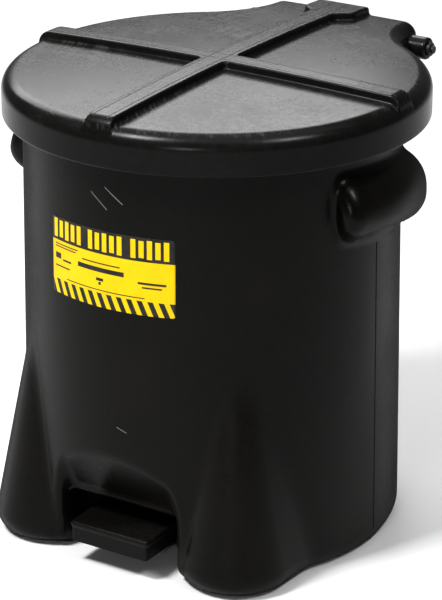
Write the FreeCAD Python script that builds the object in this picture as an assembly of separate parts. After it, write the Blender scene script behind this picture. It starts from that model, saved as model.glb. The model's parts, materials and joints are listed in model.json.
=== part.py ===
"""Foot-operated oily waste can: a moulded can, a hinged teardrop lid, and a pedal linkage.

Millimetres. +Z is up, the pedal is at the front (-Y), and the object is symmetric about X = 0.
The origin is on the floor, under the middle of the overall bounding box.
"""

import FreeCAD, Part
import math
import os

Vector = FreeCAD.Vector

# ---- overall ----
OVERALL_DEPTH = 468.4        # lid front to tongue back
WALL = 4.0                   # moulded wall of the can and the lid

# ---- lid ----
LID_RADIUS = 209.5
LID_TOP_Z = 465.0            # top surface at the middle, between the ribs
LID_SKIRT_Z = 421.6          # lower edge of the skirt
LID_CROWN_RADIUS = 5200.0    # the top is a very shallow dome
LID_EDGE_RADIUS = 15.0       # rounding between the top and the skirt
TONGUE_WAIST_RADIUS = 89.0   # concave curve between the round lid and the tongue
TONGUE_HALF_WIDTH = 86.0
TONGUE_CORNER_RADIUS = 16.0
RIB_HEIGHT = 8.0
RIB_DRAFT = 2.6              # each rib side leans out this much over the rib's height
LONG_RIB_HALF_WIDTH = 13.2   # front-to-back rib, at its top
CROSS_RIB_HALF_WIDTH = 11.4  # side-to-side rib, at its top
RIB_END_INSET = 2.5          # rib ends stop this far inside the skirt
REAR_BLOCK_HALF_WIDTH = 28.5  # the long rib widens into a block on the tongue
REAR_BLOCK_FLARE_START = 31.0  # the block's ends and start, measured forward from the tongue's back
REAR_BLOCK_FLARE_LENGTH = 20.0
REAR_BLOCK_BACK_GAP = 9.0

LID_Y = LID_RADIUS - OVERALL_DEPTH / 2
RIB_CROSSING_Y = LID_Y + 4.0
TONGUE_BACK_Y = OVERALL_DEPTH / 2

# ---- can body ----
BODY_Y = LID_Y - 8.6
BODY_TOP_RADIUS = 184.0
BODY_BASE_RADIUS = 189.5
BODY_BASE_ROUNDING = 18.0
LID_SEAT_GAP = 0.4
RIM_REACH = BODY_TOP_RADIUS + RIB_CROSSING_Y - BODY_Y    # from the top of the lid's dome to the rim's front
RIM_Z = LID_TOP_Z - WALL - RIM_REACH ** 2 / (2 * LID_CROWN_RADIUS) - LID_SEAT_GAP
UNDERSIDE_Z = 63.0           # the can's bottom is raised, so that air passes below it
UNDERSIDE_RADIUS = 148.0

# ---- front feet ----
FOOT_RADIUS = 65.0           # rounded front corner of each foot, at the floor
FOOT_X = 101.0
FOOT_FRONT_Y = LID_Y - LID_RADIUS + 12.0
FOOT_ROUNDING = 18.0
FOOT_TOP_Z = 222.0           # each foot tapers back into the can and ends at this height
FOOT_TOP_X = 94.0
FOOT_TOP_Y_OFFSET = -118.0   # from the can's axis
FOOT_TOP_RADIUS = 30.0
FOOT_HEEL_X = 110.0           # rear end of each foot, inside the can's wall
FOOT_HEEL_Y_OFFSET = -45.0
FOOT_HEEL_RADIUS = 62.0
FOOT_HEEL_TOP_RADIUS = 52.0
FOOT_INNER_ROUNDING = 38.0       # bottom corner of each foot beside the alcove

# ---- toe alcove over the pedal ----
ALCOVE_HALF_WIDTH = 70.0
ALCOVE_TOP_Z = 124.0
ALCOVE_BACK_HALF_WIDTH = 64.0
ALCOVE_BACK_TOP_Z = 71.0
ALCOVE_CORNER_RADIUS = 10.0
ALCOVE_DEPTH = 27.0          # from the front of the can wall to the raised bottom's front edge

# ---- side handles ----
HANDLE_REACH = 27.0
HANDLE_TOP_Z = 402.0
HANDLE_EDGE_TOP_Z = 374.0
HANDLE_EDGE_BOTTOM_Z = 342.0
HANDLE_BOTTOM_Z = 322.0
HANDLE_FRONT_ANGLE = 18.0        # each handle runs further back than forward
HANDLE_REAR_ANGLE = 30.0
HANDLE_ROUNDING = 9.0
HANDLE_END_ANGLE = 7.0           # solid end left at both ends of the finger pocket
HANDLE_POCKET_TOP_Z = 366.0
HANDLE_POCKET_WALL = 7.0     # grip left outside the finger pocket

# ---- lid hinge ----
HINGE_Y = TONGUE_BACK_Y - 23.0
HINGE_Z = 437.5
HINGE_ROD_RADIUS = 4.0
HINGE_BOSS_RADIUS = 11.5
HINGE_BOSS_END_X = 107.0
HINGE_ROD_END_X = 113.0
EAR_INNER_X = 40.0
EAR_THICKNESS = 20.0
BUSH_RADIUS = 6.0
BUSH_FLANGE_RADIUS = 9.0
BUSH_FLANGE_THICKNESS = 1.5
RUNNING_GAP = 0.05
NUT_RADIUS = 7.0
NUT_THICKNESS = 3.0

# ---- linkage ----
LID_OPEN_ANGLE = 60.0
LIFT_ARM = 34.0              # hinge axis to lift pin
LIFT_PIN_RADIUS = 3.0
AXLE_Y = BODY_Y - 52.0
AXLE_Z = 34.0
AXLE_RADIUS = 5.0
LIFT_RISE = 2 * LIFT_ARM * math.sin(math.radians(LID_OPEN_ANGLE / 2))
LIFT_PIN_Y = HINGE_Y - LIFT_ARM * math.cos(math.radians(LID_OPEN_ANGLE / 2))
LIFT_PIN_Z = HINGE_Z - LIFT_RISE / 2
LIFT_PIN_SWAY = LIFT_ARM * (1 - math.cos(math.radians(LID_OPEN_ANGLE / 2)))
ROD_Y = LIFT_PIN_Y - LIFT_PIN_SWAY / 2
ROD_RADIUS = 4.0
REAR_PIN_Z = AXLE_Z - LIFT_RISE / 2
REAR_PIN_RADIUS = 4.0
ROD_EYE_WIDTH = 8.0
LEVER_BAR_THICKNESS = 4.0
LEVER_BAR_HEIGHT = 14.0
LEVER_INNER_X = 8.0
TUBE_WALL = 3.0
BRACKET_SHEET = 3.0
BRACKET_WIDTH = 34.0
BRACKET_HOLE_RADIUS = 2.6
BRACKET_INNER_X = 26.0
REAR_SLOT_HALF_WIDTH = 22.0
REAR_SLOT_TOP_Z = 84.0

# ---- pedal ----
PEDAL_HALF_WIDTH = 45.0
PEDAL_DEPTH = 66.0
PEDAL_FRONT_Y = LID_Y - LID_RADIUS + 11.0
PEDAL_TOP_Z = 44.0
PEDAL_HEIGHT = 21.5
PEDAL_LIP = 4.0
PEDAL_EDGE = 2.0
PLATE_HALF_WIDTH = 36.0
PLATE_THICKNESS = 3.0
PLATE_MARGIN = 8.0

# ---- lift bracket under the tongue ----
LIFT_SHEET = 2.5
LIFT_CHEEK_X = 4.5
LIFT_PLATE_Z = 455.3
LIFT_PLATE_HALF_WIDTH = 25.0
LIFT_SCREW_X = 18.0
LIFT_SCREW_YS = (HINGE_Y - 23.0, HINGE_Y - 3.0)
LIFT_EYE_GAP = 0.5

# ---- small screws ----
SCREW_RADIUS = 2.0
SCREW_HEAD_RADIUS = 4.0
SCREW_HEAD_HEIGHT = 2.2
SCREW_GAP = 0.05
LIFT_SCREW_LENGTH = 9.0
AXLE_SCREW_LENGTH = BRACKET_SHEET + 3.4
GUIDE_SCREW_LENGTH = 6.4

# ---- rod guide and label ----
GUIDE_Z = 250.0
GUIDE_SLOT_HALF = 1.2        # the rod sways this much front to back in its guide
GUIDE_SHEET = 3.0
GUIDE_SCREW_RISE = 10.0
LABEL_WIDTH = 140.0
LABEL_HEIGHT = 77.0
LABEL_TOP_Z = 354.0
LABEL_THICKNESS = 0.4


def face_from_edges(edges):
    """A planar face bounded by edges that follow one another."""
    return Part.Face(Part.Wire(edges))


def polygon(points):
    """A planar face through the points, in order."""
    corners = [Vector(*p) for p in points]
    return Part.Face(Part.makePolygon(corners + corners[:1]))


def arc(start, middle, end):
    return Part.Arc(Vector(*start), Vector(*middle), Vector(*end)).toShape()


def line(start, end):
    return Part.LineSegment(Vector(*start), Vector(*end)).toShape()


def box(x0, x1, y0, y1, z0, z1):
    return Part.makeBox(x1 - x0, y1 - y0, z1 - z0, Vector(x0, y0, z0))


def x_cylinder(radius, x0, x1, y, z):
    return Part.makeCylinder(radius, x1 - x0, Vector(x0, y, z), Vector(1, 0, 0))


def y_cylinder(radius, y0, y1, x, z):
    return Part.makeCylinder(radius, y1 - y0, Vector(x, y0, z), Vector(0, 1, 0))


def z_cylinder(radius, z0, z1, x, y):
    return Part.makeCylinder(radius, z1 - z0, Vector(x, y, z0))


def mirrored(shape):
    return shape.mirror(Vector(0, 0, 0), Vector(1, 0, 0))


def fuse_all(shapes):
    return shapes[0].fuse(shapes[1:]).removeSplitter()


def fillet_where(shape, radius, test):
    """Rounds the edges whose middle point and bounding box pass the test."""
    edges = [e for e in shape.Edges if test(e)]
    return shape.makeFillet(radius, edges)


# ---------------------------------------------------------------- lid

def teardrop(inset, z):
    """The lid's outline: a circle that runs through two concave waists into a rear tongue."""
    radius = LID_RADIUS - inset
    waist = TONGUE_WAIST_RADIUS + inset
    half_width = TONGUE_HALF_WIDTH - inset
    corner = TONGUE_CORNER_RADIUS - inset
    back = TONGUE_BACK_Y - inset
    waist_x = half_width + waist
    waist_y = LID_Y + math.sqrt((radius + waist) ** 2 - waist_x ** 2)
    corner_y = min(waist_y, back - corner)
    waist_to_circle = math.atan2(LID_Y - waist_y, -waist_x)
    tangent = (waist_x + waist * math.cos(waist_to_circle), waist_y + waist * math.sin(waist_to_circle))
    mid_angle = (waist_to_circle - math.pi) / 2
    waist_mid = (waist_x + waist * math.cos(mid_angle), waist_y + waist * math.sin(mid_angle))
    corner_mid_x = half_width - corner + corner * math.cos(math.radians(45))
    corner_mid_y = back - corner + corner * math.sin(math.radians(45))

    def side(sign):
        parts = [arc((sign * tangent[0], tangent[1], z), (sign * waist_mid[0], waist_mid[1], z),
                     (sign * half_width, waist_y, z))]
        if back - corner - corner_y > 0.01:
            parts.append(line((sign * half_width, corner_y, z), (sign * half_width, back - corner, z)))
        parts.append(arc((sign * half_width, back - corner, z), (sign * corner_mid_x, corner_mid_y, z),
                         (sign * (half_width - corner), back, z)))
        return parts

    edges = [arc((-tangent[0], tangent[1], z), (0, LID_Y - radius, z), (tangent[0], tangent[1], z))]
    edges += side(1)
    edges.append(line((half_width - corner, back, z), (-(half_width - corner), back, z)))
    edges += side(-1)
    return Part.Face(Part.Wire(Part.__sortEdges__(edges)))


def dome_tool(bottom_z, top_z):
    """A wide round body whose top is the lid's shallow dome."""
    reach = OVERALL_DEPTH
    drop = LID_CROWN_RADIUS - math.sqrt(LID_CROWN_RADIUS ** 2 - reach ** 2)
    half_drop = LID_CROWN_RADIUS - math.sqrt(LID_CROWN_RADIUS ** 2 - (reach / 2) ** 2)
    profile = face_from_edges([
        arc((0, 0, top_z), (reach / 2, 0, top_z - half_drop), (reach, 0, top_z - drop)),
        line((reach, 0, top_z - drop), (reach, 0, bottom_z)),
        line((reach, 0, bottom_z), (0, 0, bottom_z)),
        line((0, 0, bottom_z), (0, 0, top_z)),
    ])
    dome = profile.revolve(Vector(0, 0, 0), Vector(0, 0, 1), 360)
    dome.translate(Vector(0, RIB_CROSSING_Y, 0))
    return dome


def domed_form(inset, bottom_z, top_z, edge_radius):
    """The teardrop raised to a shallow dome, with a rounded upper edge."""
    block = teardrop(inset, bottom_z).extrude(Vector(0, 0, top_z - bottom_z + 5))
    form = block.common(dome_tool(bottom_z - 10, top_z))
    return fillet_where(form, edge_radius, lambda e: e.BoundBox.ZMin > top_z - 20)


def rib_bar(half_width, length, base_z, top_z):
    """A bar along X with drafted sides."""
    foot = half_width + RIB_DRAFT
    section = polygon([(-length, -foot, base_z), (-length, foot, base_z),
                       (-length, half_width, top_z), (-length, -half_width, top_z)])
    return section.extrude(Vector(2 * length, 0, 0))


def lid_ribs():
    """The raised cross on the lid, with the block that it widens into on the tongue."""
    base_z = LID_TOP_Z - 14
    top_z = LID_TOP_Z + RIB_HEIGHT + 1
    cross = rib_bar(CROSS_RIB_HALF_WIDTH, LID_RADIUS + 10, base_z, top_z)
    cross.translate(Vector(0, RIB_CROSSING_Y, 0))
    long_rib = rib_bar(LONG_RIB_HALF_WIDTH, OVERALL_DEPTH, base_z, top_z)
    long_rib.rotate(Vector(0, 0, 0), Vector(0, 0, 1), 90)
    back_y = TONGUE_BACK_Y - REAR_BLOCK_BACK_GAP
    long_rib = long_rib.common(box(-50, 50, -OVERALL_DEPTH, back_y - 5, base_z, top_z))
    flare_end = back_y - REAR_BLOCK_FLARE_START
    flare_start = flare_end - REAR_BLOCK_FLARE_LENGTH

    def block_outline(z, grow):
        rib = LONG_RIB_HALF_WIDTH + grow
        wide = REAR_BLOCK_HALF_WIDTH + grow
        half = [(rib, flare_start), (wide, flare_end), (wide, back_y + grow)]
        points = [(x, y, z) for x, y in half] + [(-x, y, z) for x, y in reversed(half)]
        corners = [Vector(*p) for p in points]
        return Part.makePolygon(corners + corners[:1])

    block = Part.makeLoft([block_outline(base_z, RIB_DRAFT + 2), block_outline(top_z, 0)], True, True)
    cap = domed_form(RIB_END_INSET, LID_SKIRT_Z + 12, LID_TOP_Z + RIB_HEIGHT, LID_EDGE_RADIUS - RIB_END_INSET)
    return fuse_all([cross, long_rib, block]).common(cap)


def lid_bosses():
    """Round bosses on both sides of the tongue that carry the lid on the hinge rod."""
    start_x = TONGUE_HALF_WIDTH - WALL + 0.5
    boss = x_cylinder(HINGE_BOSS_RADIUS, start_x, HINGE_BOSS_END_X, HINGE_Y, HINGE_Z)
    boss = fillet_where(boss, 3.0, lambda e: e.BoundBox.XMin > HINGE_BOSS_END_X - 0.1)
    return [boss, mirrored(boss)]


def lid_shell():
    outer = domed_form(0, LID_SKIRT_Z, LID_TOP_Z, LID_EDGE_RADIUS)
    inner = domed_form(WALL, LID_SKIRT_Z - 5, LID_TOP_Z - WALL, LID_EDGE_RADIUS - WALL)
    solid = fuse_all([outer, lid_ribs()] + lid_bosses())
    shell = solid.cut(inner)
    bore = x_cylinder(BUSH_RADIUS + RUNNING_GAP, -HINGE_BOSS_END_X - 1, HINGE_BOSS_END_X + 1, HINGE_Y, HINGE_Z)
    holes = [screw_hole((x, y, LIFT_PLATE_Z - LIFT_SHEET), (0, 0, 1), LIFT_SCREW_LENGTH)
             for x, y in lift_screw_places()]
    return shell.cut([bore] + holes)


def hinge_bush():
    """Flanged bush pressed into the right boss from inside the tongue."""
    inner_x = TONGUE_HALF_WIDTH - WALL
    sleeve = x_cylinder(BUSH_RADIUS, inner_x - BUSH_FLANGE_THICKNESS, HINGE_BOSS_END_X, HINGE_Y, HINGE_Z)
    flange = x_cylinder(BUSH_FLANGE_RADIUS, inner_x - BUSH_FLANGE_THICKNESS - 0.3, inner_x - 0.3, HINGE_Y, HINGE_Z)
    hole = x_cylinder(HINGE_ROD_RADIUS + RUNNING_GAP, 0, HINGE_BOSS_END_X + 1, HINGE_Y, HINGE_Z)
    return fuse_all([sleeve, flange]).cut(hole)


# ---------------------------------------------------------------- can body

def body_radius_at(z):
    return BODY_BASE_RADIUS + (BODY_TOP_RADIUS - BODY_BASE_RADIUS) * z / RIM_Z


def tapered_drum(inset, bottom_z, top_z, rounding):
    """The round can, slightly wider at its base, with a rounded bottom edge."""
    drum = Part.makeCone(body_radius_at(bottom_z) - inset, body_radius_at(top_z) - inset,
                         top_z - bottom_z, Vector(0, BODY_Y, bottom_z))
    return fillet_where(drum, rounding, lambda e: e.BoundBox.ZMax < bottom_z + 0.1 and e.Length > 50)


def capsule_outline(toe, toe_radius, heel, heel_radius, z):
    """Two circles of different size joined by their outer tangents."""
    dx, dy = heel[0] - toe[0], heel[1] - toe[1]
    distance = math.hypot(dx, dy)
    axis = math.atan2(dy, dx)
    spread = math.acos((toe_radius - heel_radius) / distance)

    def on(centre, radius, angle):
        return (centre[0] + radius * math.cos(angle), centre[1] + radius * math.sin(angle), z)

    left, right = axis + spread, axis - spread
    edges = [
        arc(on(toe, toe_radius, left), on(toe, toe_radius, axis + math.pi), on(toe, toe_radius, right)),
        line(on(toe, toe_radius, right), on(heel, heel_radius, right)),
        arc(on(heel, heel_radius, right), on(heel, heel_radius, axis), on(heel, heel_radius, left)),
        line(on(heel, heel_radius, left), on(toe, toe_radius, left)),
    ]
    return Part.Wire(edges)


def foot(inset):
    """The right foot: it fills the can's front corner at the floor and tapers away upwards."""
    toe = (FOOT_X, FOOT_FRONT_Y + FOOT_RADIUS)
    heel = (FOOT_HEEL_X, BODY_Y + FOOT_HEEL_Y_OFFSET)
    toe_top = (FOOT_TOP_X, BODY_Y + FOOT_TOP_Y_OFFSET)
    low = capsule_outline(toe, FOOT_RADIUS - inset, heel, FOOT_HEEL_RADIUS - inset, inset)
    high = capsule_outline(toe_top, FOOT_TOP_RADIUS - inset, heel, FOOT_HEEL_TOP_RADIUS - inset, FOOT_TOP_Z)
    wedge = Part.makeLoft([low, high], True, True)
    return fillet_where(wedge, FOOT_ROUNDING - inset, lambda e: e.BoundBox.ZMax < inset + 0.1)


def handle_lug():
    """The right side handle: a moulded ledge that follows the can's wall."""
    start = BODY_TOP_RADIUS - 10
    reach = BODY_TOP_RADIUS + HANDLE_REACH
    profile = polygon([
        (start, 0, HANDLE_TOP_Z + 10), (reach, 0, HANDLE_EDGE_TOP_Z),
        (reach, 0, HANDLE_EDGE_BOTTOM_Z), (start, 0, HANDLE_BOTTOM_Z - 9),
    ])
    lug = profile.revolve(Vector(0, 0, 0), Vector(0, 0, 1), HANDLE_FRONT_ANGLE + HANDLE_REAR_ANGLE)
    lug.rotate(Vector(0, 0, 0), Vector(0, 0, 1), -HANDLE_FRONT_ANGLE)
    lug = fillet_where(lug, HANDLE_ROUNDING, lambda e: outside(e, reach - 12))
    lug.translate(Vector(0, BODY_Y, 0))
    return lug


def outside(edge, radius):
    """True for an edge that reaches past the radius round the Z axis."""
    samples = [edge.valueAt(edge.FirstParameter + (edge.LastParameter - edge.FirstParameter) * t)
               for t in (0.25, 0.5, 0.75)]
    return all(math.hypot(p.x, p.y) > radius for p in samples) or (
        edge.Length < 60 and math.hypot(samples[1].x, samples[1].y) > BODY_TOP_RADIUS - 2)


def handle_pocket():
    """The finger pocket under the right handle."""
    inner = BODY_TOP_RADIUS + 3.0
    outer = BODY_TOP_RADIUS + HANDLE_REACH - HANDLE_POCKET_WALL
    profile = polygon([
        (inner, 0, HANDLE_BOTTOM_Z - 20), (outer, 0, HANDLE_BOTTOM_Z - 20),
        (outer, 0, HANDLE_POCKET_TOP_Z), (inner, 0, HANDLE_POCKET_TOP_Z),
    ])
    sweep = HANDLE_FRONT_ANGLE + HANDLE_REAR_ANGLE - 2 * HANDLE_END_ANGLE
    pocket = profile.revolve(Vector(0, 0, 0), Vector(0, 0, 1), sweep)
    pocket.rotate(Vector(0, 0, 0), Vector(0, 0, 1), HANDLE_END_ANGLE - HANDLE_FRONT_ANGLE)
    pocket.translate(Vector(0, BODY_Y, 0))
    return pocket


def alcove_outline(half_width, top_z, y):
    """A square opening in a plane of constant Y, reaching below the floor."""
    bottom = -30.0
    corners = [Vector(-half_width, y, bottom), Vector(-half_width, y, top_z),
               Vector(half_width, y, top_z), Vector(half_width, y, bottom)]
    return Part.makePolygon(corners + corners[:1])


def alcove(grow):
    """The toe alcove: its flat roof slopes down and back to the edge of the raised bottom."""
    wall_y = BODY_Y - body_radius_at(ALCOVE_TOP_Z)
    back_y = wall_y + ALCOVE_DEPTH + grow
    slope = (ALCOVE_TOP_Z - ALCOVE_BACK_TOP_Z) / ALCOVE_DEPTH
    flare = (ALCOVE_HALF_WIDTH - ALCOVE_BACK_HALF_WIDTH) / ALCOVE_DEPTH
    lead = 30.0
    front = alcove_outline(ALCOVE_HALF_WIDTH + flare * lead + grow, ALCOVE_TOP_Z + slope * lead + grow, wall_y - lead)
    back = alcove_outline(ALCOVE_BACK_HALF_WIDTH + grow, ALCOVE_BACK_TOP_Z + grow, back_y)
    wedge = Part.makeLoft([front, back], True, True)
    return fillet_where(wedge, ALCOVE_CORNER_RADIUS, lambda e: e.CenterOfMass.z > 60 and abs(e.CenterOfMass.x) > 20)


def underside(grow):
    """The open space below the raised bottom, which the linkage runs through."""
    pocket = z_cylinder(UNDERSIDE_RADIUS + grow, -10, UNDERSIDE_Z + grow, 0, BODY_Y)
    passage = box(-ALCOVE_BACK_HALF_WIDTH - grow, ALCOVE_BACK_HALF_WIDTH + grow,
                  BODY_Y - BODY_BASE_RADIUS - 20, BODY_Y, -10, UNDERSIDE_Z + grow)
    slot = box(-REAR_SLOT_HALF_WIDTH - grow, REAR_SLOT_HALF_WIDTH + grow,
               BODY_Y + UNDERSIDE_RADIUS - 20, BODY_Y + BODY_BASE_RADIUS + 20, -10, REAR_SLOT_TOP_Z + grow)
    return fuse_all([pocket, passage, slot])


def foot_corner(inset):
    """What is cut away to round a foot's bottom corner beside the alcove."""
    centre_x = ALCOVE_HALF_WIDTH + FOOT_INNER_ROUNDING
    front_y, back_y = BODY_Y - BODY_BASE_RADIUS - 60, BODY_Y - 90
    corner = box(0, centre_x, front_y, back_y, -10, FOOT_INNER_ROUNDING)
    return corner.cut(y_cylinder(FOOT_INNER_ROUNDING - inset, front_y - 5, back_y + 5, centre_x, FOOT_INNER_ROUNDING))


def hinge_ear():
    """The right ear on the can's back that holds the hinge rod."""
    wall_y = BODY_Y + math.sqrt(BODY_TOP_RADIUS ** 2 - (EAR_INNER_X + EAR_THICKNESS) ** 2) - WALL / 2
    inner_wall_y = BODY_Y + math.sqrt((BODY_TOP_RADIUS - WALL) ** 2 - EAR_INNER_X ** 2) - 1
    reach = HINGE_Y - wall_y
    arm = polygon([
        (EAR_INNER_X, wall_y - 6, HINGE_Z + 9), (EAR_INNER_X, HINGE_Y, HINGE_Z + HINGE_BOSS_RADIUS - 1),
        (EAR_INNER_X, HINGE_Y + 2, HINGE_Z), (EAR_INNER_X, HINGE_Y - 7, HINGE_Z - HINGE_BOSS_RADIUS + 2),
        (EAR_INNER_X, wall_y - 6, HINGE_Z - reach - 12),
    ]).extrude(Vector(EAR_THICKNESS, 0, 0))
    boss = x_cylinder(HINGE_BOSS_RADIUS, EAR_INNER_X, EAR_INNER_X + EAR_THICKNESS, HINGE_Y, HINGE_Z)
    clear = z_cylinder(BODY_TOP_RADIUS - WALL / 2, 0, RIM_Z + 10, 0, BODY_Y)
    return fuse_all([arm, boss]).cut(clear)


def body_form(inset):
    """The can without its handles: the outside at no inset, the inside at one wall of inset."""
    top_z = RIM_Z if inset == 0 else RIM_Z + 20
    drum = tapered_drum(inset, inset, top_z, BODY_BASE_ROUNDING - inset)
    right_foot = foot(inset)
    corner = foot_corner(inset)
    form = fuse_all([drum, right_foot, mirrored(right_foot)])
    return form.cut(alcove(inset)).cut([corner, mirrored(corner)]).cut(underside(inset))


def body_shell():
    outer = body_form(0)
    lug = handle_lug().cut(handle_pocket())
    ear = hinge_ear()
    hollow = body_form(WALL)
    solid = outer.fuse([lug, mirrored(lug), ear, mirrored(ear)])
    bore = x_cylinder(HINGE_ROD_RADIUS + RUNNING_GAP, -100, 100, HINGE_Y, HINGE_Z)
    holes = [screw_hole(place, (0, 0, 1), AXLE_SCREW_LENGTH) for place in axle_screw_places()]
    holes += [screw_hole(place, (0, -1, 0), GUIDE_SCREW_LENGTH) for place in guide_screw_places()]
    return solid.cut(hollow).cut([bore] + holes)


# ---------------------------------------------------------------- fasteners

def screw(place, direction, length):
    """A pan-head screw: place is the seat under its head, and the shank points along direction."""
    seat = Vector(*place)
    way = Vector(*direction)
    shank = Part.makeCylinder(SCREW_RADIUS, length, seat, way)
    head = Part.makeCylinder(SCREW_HEAD_RADIUS, SCREW_HEAD_HEIGHT, seat, way * -1)
    rim = [e for e in head.Edges if e.Length > SCREW_HEAD_RADIUS * 6
           and (e.CenterOfMass - seat).dot(way) < -SCREW_HEAD_HEIGHT / 2]
    return shank.fuse(head.makeFillet(SCREW_HEAD_HEIGHT * 0.6, rim))


def screw_hole(place, direction, length):
    return Part.makeCylinder(SCREW_RADIUS + SCREW_GAP, length + SCREW_GAP, Vector(*place), Vector(*direction))


def ring(outer, inner, x0, x1, y, z):
    """A washer or collar round an axis along X."""
    return x_cylinder(outer, x0, x1, y, z).cut(x_cylinder(inner, x0 - 1, x1 + 1, y, z))


def push_nut(rod_radius, start_x, y, z):
    """A pressed steel cap washer on the right end of a rod."""
    nut = x_cylinder(rod_radius + 3.2, start_x, start_x + NUT_THICKNESS, y, z)
    nut = fillet_where(nut, 1.2, lambda e: e.BoundBox.XMin > start_x + NUT_THICKNESS - 0.1)
    return nut.cut(x_cylinder(rod_radius + RUNNING_GAP, start_x - 1, start_x + NUT_THICKNESS + 1, y, z))


def both_sides(shape):
    return [shape, mirrored(shape)]


# ---------------------------------------------------------------- hinge and lift hardware

def hinge_rod():
    return x_cylinder(HINGE_ROD_RADIUS, -HINGE_ROD_END_X, HINGE_ROD_END_X, HINGE_Y, HINGE_Z)


def lift_screw_places():
    return [(x, y) for x in (-LIFT_SCREW_X, LIFT_SCREW_X) for y in LIFT_SCREW_YS]


def lift_bracket():
    """A folded bracket under the tongue: a plate with two cheeks that hold the lift pin."""
    front_y = LIFT_PIN_Y - 6.0
    plate = box(-LIFT_PLATE_HALF_WIDTH, LIFT_PLATE_HALF_WIDTH, front_y, HINGE_Y + 5.0,
                LIFT_PLATE_Z - LIFT_SHEET, LIFT_PLATE_Z)
    top_z = LIFT_PLATE_Z - 0.5
    cheek = polygon([
        (LIFT_CHEEK_X, front_y, top_z), (LIFT_CHEEK_X, HINGE_Y - 11.0, top_z),
        (LIFT_CHEEK_X, LIFT_PIN_Y + 7.0, LIFT_PIN_Z + 4), (LIFT_CHEEK_X, LIFT_PIN_Y + 5.0, LIFT_PIN_Z - 7),
        (LIFT_CHEEK_X, LIFT_PIN_Y - 5.0, LIFT_PIN_Z - 7), (LIFT_CHEEK_X, LIFT_PIN_Y - 7.0, LIFT_PIN_Z),
    ]).extrude(Vector(LIFT_SHEET, 0, 0))
    body = fuse_all([plate] + both_sides(cheek))
    pin_hole = x_cylinder(LIFT_PIN_RADIUS + SCREW_GAP, -20, 20, LIFT_PIN_Y, LIFT_PIN_Z)
    seat_z = LIFT_PLATE_Z - LIFT_SHEET
    holes = [screw_hole((x, y, seat_z - 1), (0, 0, 1), 5.0) for x, y in lift_screw_places()]
    return body.cut([pin_hole] + holes)


def lift_bracket_screws():
    return [screw((x, y, LIFT_PLATE_Z - LIFT_SHEET), (0, 0, 1), LIFT_SCREW_LENGTH) for x, y in lift_screw_places()]


def headed_pin(radius, half_length, y, z):
    """A clevis pin along X with its head on the right."""
    shank = x_cylinder(radius, -half_length, half_length, y, z)
    head = x_cylinder(radius + 2.0, half_length, half_length + 2.0, y, z)
    return shank.fuse(head)


LIFT_CHEEK_OUT = LIFT_CHEEK_X + LIFT_SHEET
LEVER_OUT = LEVER_INNER_X + LEVER_BAR_THICKNESS


def lift_pin():
    pin = headed_pin(LIFT_PIN_RADIUS, LIFT_CHEEK_OUT + 0.3, LIFT_PIN_Y, LIFT_PIN_Z)
    tip = x_cylinder(LIFT_PIN_RADIUS, -LIFT_CHEEK_OUT - 3.0, 0, LIFT_PIN_Y, LIFT_PIN_Z)
    return pin.fuse(tip).removeSplitter()


def lift_pin_clip():
    outer_x = -LIFT_CHEEK_OUT - 0.4
    return ring(LIFT_PIN_RADIUS + 2.4, LIFT_PIN_RADIUS + 0.02, outer_x - 1.2, outer_x, LIFT_PIN_Y, LIFT_PIN_Z)


# ---------------------------------------------------------------- lift rod

ROD_SOCKET_LENGTH = 26.0
ROD_SOCKET_RADIUS = 6.5
ROD_INSERT = 14.0
NUT_HEIGHT = 5.0


def lower_rod_eye():
    """Screwed onto the rod's lower end: an eye round the lever's rear pin."""
    half = ROD_EYE_WIDTH / 2
    eye = x_cylinder(REAR_PIN_RADIUS + 4.5, -half, half, ROD_Y, REAR_PIN_Z)
    neck = z_cylinder(half, REAR_PIN_Z + 5, REAR_PIN_Z + 12, 0, ROD_Y)
    socket = z_cylinder(ROD_SOCKET_RADIUS, REAR_PIN_Z + 9, REAR_PIN_Z + ROD_SOCKET_LENGTH, 0, ROD_Y)
    hole = x_cylinder(REAR_PIN_RADIUS + RUNNING_GAP, -10, 10, ROD_Y, REAR_PIN_Z)
    top = REAR_PIN_Z + ROD_SOCKET_LENGTH
    rod_hole = z_cylinder(ROD_RADIUS + RUNNING_GAP, top - ROD_INSERT, top + 1, 0, ROD_Y)
    return fuse_all([eye, neck, socket]).cut([hole, rod_hole])


def upper_rod_eye():
    """Screwed onto the rod's upper end: a slotted head that the lid's lift pin slides in."""
    half = ROD_EYE_WIDTH / 2
    slot_radius = LIFT_PIN_RADIUS + LIFT_EYE_GAP
    sway = LIFT_PIN_SWAY / 2 + 0.4

    def slotted(radius, thick):
        ends = [x_cylinder(radius, -thick, thick, ROD_Y + side * sway, LIFT_PIN_Z) for side in (-1, 1)]
        middle = box(-thick, thick, ROD_Y - sway, ROD_Y + sway, LIFT_PIN_Z - radius, LIFT_PIN_Z + radius)
        return fuse_all(ends + [middle])

    bottom = LIFT_PIN_Z - ROD_SOCKET_LENGTH
    neck = z_cylinder(half, bottom + 5, LIFT_PIN_Z - 4, 0, ROD_Y)
    socket = z_cylinder(ROD_SOCKET_RADIUS, bottom, LIFT_PIN_Z - 12, 0, ROD_Y)
    head = fuse_all([slotted(slot_radius + 3.5, half), neck, socket])
    rod_hole = z_cylinder(ROD_RADIUS + RUNNING_GAP, bottom - 1, bottom + ROD_INSERT - 3, 0, ROD_Y)
    return head.cut([slotted(slot_radius, half + 1), rod_hole])


def lift_rod():
    low = REAR_PIN_Z + ROD_SOCKET_LENGTH - ROD_INSERT + 1
    high = LIFT_PIN_Z - ROD_SOCKET_LENGTH + ROD_INSERT - 4
    return z_cylinder(ROD_RADIUS, low, high, 0, ROD_Y)


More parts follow.
